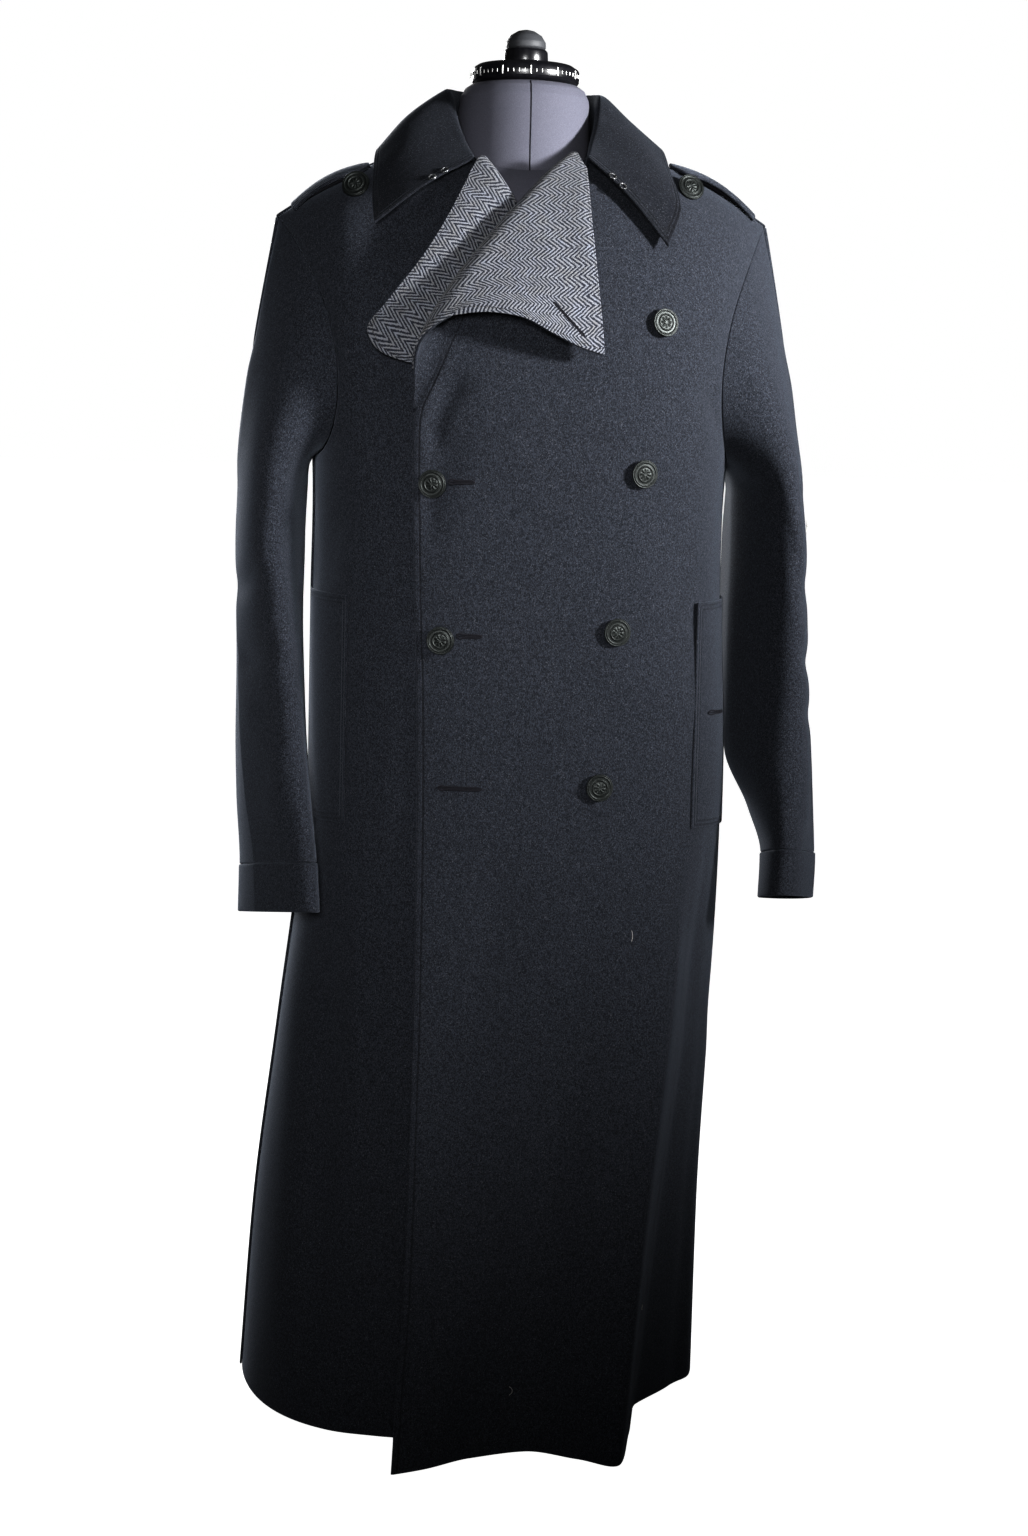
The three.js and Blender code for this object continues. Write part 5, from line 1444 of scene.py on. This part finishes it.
        def on_lapel(x: Array, z: Array) -> tuple[Array, Array]:
            """Facing near an x and z: a mean weighted by exp(-(distance / 2)^2)."""
            points, normals = (q.reshape(-1, 3) for q in lapel)
            far = np.hypot(points[None, :, 0] - x[:, None], points[None, :, 2] - z[:, None])
            near = np.exp(-((far / 2.0) ** 2))[..., None]
            total = near.sum(1)
            return (points * near).sum(1) / total, unit((normals * near).sum(1))

        def on_flap(x: Array, z: Array) -> tuple[Array, Array]:
            """Left flap's face, by degrees round the body and height."""
            out = f.normal(x, z, True)
            return f.point(x, z, True) + out * (self.air + self.flap["thick"]), out

        spots = [(chest, (x0, z), (x1, z), 1.0) for x0, x1, z in self.holes]
        spots += [(on_lapel, *self.lapel_hole, 0.5), (on_flap, *self.flap_slot, 0.8)]
        made = []
        for i, (place, start, end, thick) in enumerate(spots):
            run = np.array(end) - np.array(start)
            size = float(np.hypot(*run))
            lead, side = run / size, np.array([-run[1], run[0]]) / size
            t = np.linspace(0, 1, 60, endpoint=False)
            along = size * (0.5 - 0.5 * np.cos(2 * np.pi * t))
            swell = thick * (1.4 + np.exp(-(((along - 2.5) / 2.4) ** 2)))
            blunt = np.sqrt(np.clip(1 - (2 * along / size - 1) ** 8, 0, 1))
            wide = np.where(t < 0.5, 1, -1) * swell * blunt
            flat = np.array(start) + along[:, None] * lead + wide[:, None] * side
            p, n = place(flat[:, 0], flat[:, 1])
            bead = tube(p + n * 0.3, 0.8 * thick, 8, True)
            flat = np.array(start) + np.linspace(0.5, size - 0.5, 20)[:, None] * lead
            p, n = place(flat[:, 0], flat[:, 1])
            whole = bead.plus(tube(p + n * 0.1, 0.7 * thick, 8))
            made.append(finished(whole.build(f"buttonhole_{i}", self.finishes.thread, "coat_wool")))
        return made

    def build_lint(self, sleeve: "Sleeve") -> bpy.types.Object:
        """A few pale threads and a tuft that lie on the wool."""
        t = np.linspace(-1, 1, 14)
        paths = []
        for x, z, reach, bow in self.threads:
            p, n = self.figure.chest(x + bow * (1 - t * t), z + reach * t, True)
            paths.append(p + n * 1.6)
        for lift, turn in ((3.0, 0.3), (-2.0, 1.4), (4.0, 2.5)):
            at = sleeve.ring(874 + 5 * np.sin(turn) * t, 0.36 + 0.012 * np.cos(turn) * t, 1.5)
            paths.append(at + np.array([0, 0, 1.0]) * lift)
        shell = tube(paths[0], 0.25, 6)
        for path in paths[1:]:
            shell = shell.plus(tube(path, 0.25, 6))
        return finished(shell.build("lint_threads", self.finishes.lint, "coat_wool"))


# Dress form and stand.
@dataclass
class DressForm:
    """Limbless form: torso with neck, dial, knob, pole and base."""

    figure: Figure
    finishes: Finishes
    centre: tuple[float, float] = (-6.0, 5.0)
    ticks_round: int = 60
    neck: Array = field(default_factory=lambda: table(
        (0.02, 1120), (60, 1120), (63, 1180), (62, 1215), (62, 1250), (60, 1264), (56, 1272),
        (50, 1276), (44, 1277), (0.02, 1277)))
    dial: Array = field(default_factory=lambda: table(
        (0.02, 1277.3), (46, 1277.3), (49.5, 1279), (50.6, 1281), (51, 1286), (50.4, 1289.4),
        (49.5, 1291), (44, 1294.5), (30, 1296), (0.02, 1296)))
    knob_base: Array = field(default_factory=lambda: table(
        (0.02, 1296.3), (20, 1296.3), (21, 1298), (20.5, 1307), (19, 1309), (0.02, 1309)))
    knob: Array = field(default_factory=lambda: table(
        (0.02, 1309.3), (17, 1309.3), (18.6, 1311), (18.4, 1316), (14.5, 1322), (8, 1326),
        (2, 1327.4), (0.02, 1327.4)))
    pole: Array = field(default_factory=lambda: table(
        (0.02, 12.3), (30, 12.3), (29, 20), (18, 26), (16, 30), (16, 599.7), (0.02, 599.7)))
    base: Array = field(default_factory=lambda: table(
        (0.02, 0), (117, 0), (119, 2), (119, 9), (116, 12), (0.02, 12)))

    def torso(self) -> Shell:
        """Torso inside the coat: the coat's own face drawn in, and closed where limbs would be."""
        f = self.figure
        low = np.linspace(600, 930, 40)
        s = 0.5 - 0.5 * np.cos(np.pi * np.linspace(0, 1, 50))
        k = np.concatenate([low, f.arm + 100 * (1 - (1 - s[1:]) ** 1.3)])
        k[-1] = f.arm + 99.97
        phi = np.linspace(-90, 90, 41)
        rings = []
        for front in (True, False):
            a = phi if front else 180 - phi
            p = f.point(a[None], k[:, None])
            t = f.share(k)[:, None]
            near = smooth(0.8, 0.97, t) * smooth(95, 135, np.abs(p[..., 0]))
            far = 20.0 if front else mix(12.0, 20.0, np.abs(phi) / 90)[None]
            least, most = (-86, 86) if front else (94, 266)
            n = f.normal(np.clip(a, least, most)[None] + 0 * p[..., 0],
                         np.minimum(k, f.arm + 97)[:, None] + 0 * p[..., 0])
            drop = np.where(k[:, None] > f.arm, mix(far, f.wall + 0.45, near), far + 0 * near)
            moved = p - n * drop[..., None]
            tip = np.abs(phi) == 90
            inward = np.sign(phi[tip]) * -mix(20.0, 9.0, near[:, tip])
            moved[:, tip] = p[:, tip] + np.array([1, 0, 0]) * inward[..., None]
            moved[..., 2] = np.where(k[:, None] <= f.arm, k[:, None], moved[..., 2])
            rings.append(moved)
        loop = np.concatenate([rings[0], rings[1][:, 1:-1][:, ::-1]], 1)
        cap = [loop.mean(1, keepdims=True)[j] + 0 * loop[j] for j in (0, -1)]
        loop = np.concatenate([cap[0][None], loop, cap[1][None]])
        return Shell(loop.reshape(-1, 3), quads(loop.shape[0], loop.shape[1], True)).outward()

    def turned(self, profile: Array, segments: int = 96, crisp: float = 0.25) -> Shell:
        """A turned part about the form's axis, its corners eased by extra points."""
        a, b = profile[:-1], profile[1:]
        size = np.maximum(np.linalg.norm(b - a, axis=1, keepdims=True), 1e-6)
        ease = np.minimum(crisp, 0.3 * size) / size
        rows = np.stack([a + (b - a) * ease, b - (b - a) * ease], 1).reshape(-1, 2)
        rows = np.concatenate([profile[:1], rows, profile[-1:]])
        return lathe(rows, np.array([*self.centre, 0.0]), segments)

    def build(self) -> list[bpy.types.Object]:
        """Every piece of the form."""
        s, made = self.finishes, []
        body = self.torso().plus(self.turned(self.neck))
        made.append(finished(body.build("form_cover", s.jersey, "form_cloth"), "form_torso"))
        for name, profile, finish, slot, node in (
            ("dial_disc", self.dial, s.black, "black_plastic", "form_dial"),
            ("knob_foot", self.knob_base, s.black, "black_plastic", "form_knob_base"),
            ("knob_dome", self.knob, s.dome, "grey_plastic", "form_knob"),
        ):
            made.append(finished(self.turned(profile).build(name, finish, slot), node))
        made.append(self.ticks())
        z = np.linspace(1150, 1275, 60)
        r = np.interp(z, self.neck[1:-1, 1], self.neck[1:-1, 0])
        seam = np.stack([self.centre[0] + 0 * z, self.centre[1] - r, z], -1)
        line = tube(seam, 0.55, 8).build("neck_seam", s.thread, "form_cloth")
        made.append(finished(line))
        home, self.centre = self.centre, (0.0, 0.0)
        for name, profile, node in (("pole_tube", self.pole, "stand_pole"),
                                    ("base_plate", self.base, "stand_base")):
            made.append(finished(self.turned(profile).build(name, s.steel, "stand_steel"), node))
        self.centre = home
        return made

    def ticks(self) -> bpy.types.Object:
        """White marks round the dial's rim: every fifth one longer."""
        shell = None
        for i in range(self.ticks_round):
            turn = 2 * np.pi * i / self.ticks_round
            long = i % 5 == 0
            z0, z1 = (1281.5, 1289.0) if long else (1283.2, 1286.4)
            wide = 0.012 if long else 0.008
            around = turn + np.array([-wide, wide, wide, -wide])
            high = np.array([z0, z0, z1, z1])
            rings = [np.stack([r * np.cos(around), r * np.sin(around), high], -1)
                     for r in (50.0, 51.35)]
            points = np.concatenate(rings) + np.array([*self.centre, 0.0])
            faces = np.array([(0, 3, 2, 1), (4, 5, 6, 7), (0, 1, 5, 4), (1, 2, 6, 5),
                              (2, 3, 7, 6), (3, 0, 4, 7)])
            one = Shell(points, faces).outward()
            shell = one if shell is None else shell.plus(one)
        return finished(shell.build("dial_marks", self.finishes.white, "black_plastic"))


# Studio.
@dataclass(frozen=True)
class Lamp:
    """A square soft lamp that looks at a point, in metres, watts and degrees."""

    name: str
    place: tuple[float, float, float]
    at: tuple[float, float, float]
    size: float
    power: float
    spread: float

    def build(self) -> None:
        """Makes the lamp and turns it to its point."""
        data = bpy.data.lights.new(self.name, "AREA")
        data.size, data.energy, data.spread = self.size, self.power, np.radians(self.spread)
        back = unit(np.array(self.place) - np.array(self.at))
        right = unit(np.cross([0, 0, 1.0], back))
        lamp = placed(self.name, data)
        lamp.matrix_world = stance(right, np.cross(back, right), back, self.place)


@dataclass
class Studio:
    """Camera, plain pale ground and soft lights."""

    distance: float = 2330.0
    aim: float = 973.0
    yaw: float = -6.0
    pitch: float = 8.3
    roll: float = 1.5
    lens: float = 56.81
    sensor: float = 36.0
    clip: tuple[float, float] = (0.1, 60.0)
    surround: float = 0.05
    contrast: float = 0.72
    floor_half: float = 40.0
    floor_tone: tuple[float, ...] = (0.3, 0.3, 0.3, 1.0)
    lamps: tuple[Lamp, ...] = (
        Lamp("key", (1.75, -1.3, 1.45), (0.26, 0, 1.19), 0.26, 17.5, 50),
        Lamp("fill", (-0.35, -2.5, 1.2), (-0.3, 0, 0.8), 0.4, 5.9, 42),
        Lamp("back", (-0.7, 2.5, 1.5), (0, 0, 0.72), 1.0, 22, 75),
    )

    def camera(self) -> None:
        """Places the camera as the photograph was taken."""
        yaw, pitch, roll = np.radians([self.yaw, self.pitch, self.roll])
        ahead = np.array([-np.sin(yaw) * np.cos(pitch), np.cos(yaw) * np.cos(pitch),
                          -np.sin(pitch)])
        right = np.array([np.cos(yaw), np.sin(yaw), 0.0])
        up = np.cross(right, ahead)
        x = np.cos(roll) * right + np.sin(roll) * up
        y = -np.sin(roll) * right + np.cos(roll) * up
        place = np.array([np.sin(yaw), -np.cos(yaw), 0.0]) * self.distance + [0, 0, self.aim]
        data = bpy.data.cameras.new("camera")
        data.sensor_width = self.sensor
        data.sensor_fit = "AUTO"
        data.lens = self.lens
        data.clip_start, data.clip_end = self.clip
        camera = placed("camera", data)
        camera.matrix_world = stance(x, y, -ahead, place * MM)
        bpy.context.scene.camera = camera

    @staticmethod
    def shown_white(tree: bpy.types.NodeTree, lit: Socket, add: bool = False) -> None:
        """Shows a surface or surround white to the eye, while it lights the object as given.

        Args:
            tree: node tree of the surface or surround.
            lit: shader that other rays meet.
            add: whether the white is added to the lit surface, as on the floor.
        """
        nodes, links = tree.nodes, tree.links
        kind = "ShaderNodeEmission" if add else "ShaderNodeBackground"
        white = nodes.new(kind)
        white.inputs[0].default_value = WHITE
        white.inputs[1].default_value = 1.0
        seen = white.outputs[0]
        if add:
            both = nodes.new("ShaderNodeAddShader")
            links.new(seen, both.inputs[0])
            links.new(lit, both.inputs[1])
            seen = both.outputs[0]
        ray = nodes.new("ShaderNodeLightPath")
        choice = nodes.new("ShaderNodeMixShader")
        links.new(ray.outputs["Is Camera Ray"], choice.inputs[0])
        links.new(lit, choice.inputs[1])
        links.new(seen, choice.inputs[2])
        end = next(n for n in nodes if n.bl_idname.startswith("ShaderNodeOutput"))
        links.new(choice.outputs[0], end.inputs[0])

    def ground(self) -> None:
        """A wide pale floor."""
        h = self.floor_half
        corners = [(-h, -h, 0.0), (h, -h, 0.0), (h, h, 0.0), (-h, h, 0.0)]
        mesh = bpy.data.meshes.new("floor")
        mesh.from_pydata(corners, [], [(0, 1, 2, 3)])
        n = Nodes("pale_floor")
        n.surface.inputs["Base Color"].default_value = self.floor_tone
        n.surface.inputs["Roughness"].default_value = 0.9
        self.shown_white(n.tree, n.surface.outputs[0], add=True)
        mesh.materials.append(n.material)
        floor = placed("floor", mesh)

    def light(self) -> None:
        """White surround that gives little light, then the lamps."""
        world = bpy.data.worlds.new("surround")
        world.use_nodes = True
        dim = world.node_tree.nodes["Background"]
        dim.inputs[0].default_value = WHITE
        dim.inputs[1].default_value = self.surround
        self.shown_white(world.node_tree, dim.outputs[0])
        bpy.context.scene.world = world
        for lamp in self.lamps:
            lamp.build()

    def build(self) -> None:
        """The whole studio."""
        view = bpy.context.scene.view_settings
        view.view_transform = "Standard"
        view.gamma = self.contrast
        self.camera()
        self.ground()
        self.light()


@dataclass(frozen=True)
class Cut:
    """A cloth piece's flat size in metres, its flat area, how it is held and what it lies on."""

    width: float
    length: float
    area: float
    held: str
    rests_on: tuple[str, ...]
    with_pieces: tuple[str, ...] = ()

    def declare(self, name: str) -> None:
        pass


CUTS = {
    "front_left_wool": Cut(0.56, 1.3, 0.5, "hung", ("form_cover", "front_right_wool")),
    "front_right_wool": Cut(0.53, 1.3, 0.48, "hung", ("form_cover",)),
    "back_left_wool": Cut(0.36, 1.24, 0.326, "hung", ("form_cover",)),
    "back_right_wool": Cut(0.38, 1.24, 0.346, "hung", ("form_cover",)),
    "facing_left_tweed": Cut(0.17, 0.22, 0.022, "folded", ("front_left_wool",)),
    "facing_right_tweed": Cut(0.12, 0.25, 0.0182, "folded", ("front_right_wool",)),
    "sleeve_left_wool": Cut(0.455, 0.6, 0.2, "hung", ("front_left_wool", "back_left_wool")),
    "sleeve_right_wool": Cut(0.44, 0.6, 0.199, "hung", ("front_right_wool", "back_right_wool")),
    "cuff_left_wool": Cut(0.335, 0.045, 0.0149, "hung", ("sleeve_left_wool",)),
    "cuff_right_wool": Cut(0.36, 0.046, 0.0165, "hung", ("sleeve_right_wool",)),
    "collar_wool": Cut(0.175, 0.47, 0.074, "folded", ("back_left_wool", "back_right_wool")),
    "pocket_flap_left_wool": Cut(0.119, 0.212, 0.0249, "laid",
                                 ("front_left_wool", "back_left_wool")),
    "pocket_flap_right_wool": Cut(0.119, 0.212, 0.0249, "laid",
                                  ("front_right_wool", "back_right_wool")),
    "strap_left_wool": Cut(0.046, 0.105, 0.0045, "laid", ("front_left_wool", "back_left_wool"),
                           ("strap_left_under",)),
    "strap_right_wool": Cut(0.046, 0.09, 0.0039, "laid", ("front_right_wool", "back_right_wool"),
                            ("strap_right_under",)),
}


def main() -> None:
    """Builds the coat, the form and the studio in order."""
    logging.basicConfig(level=logging.INFO, format="%(name)s %(message)s")
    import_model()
    figure = Figure()
    finishes = Finishes.made()
    fronts = Fronts(figure, finishes)
    fronts.build(False)
    lapel = fronts.build(True)
    backs = Backs(figure, finishes)
    for side in Side:
        backs.build(side)
        Sleeve(figure, finishes, side).build()
    collar = Collar(figure, finishes)
    collar.build()
    collar.wires()
    trims = Trims(figure, finishes)
    trims.build_straps()
    trims.build_flaps()
    trims.build_buttons()
    trims.build_holes(lapel)
    trims.build_lint(Sleeve(figure, finishes, Side.LEFT))
    DressForm(figure, finishes).build()
    for name, cut in CUTS.items():
        cut.declare(name)
    Studio().build()


if __name__ == "__main__":
    main()
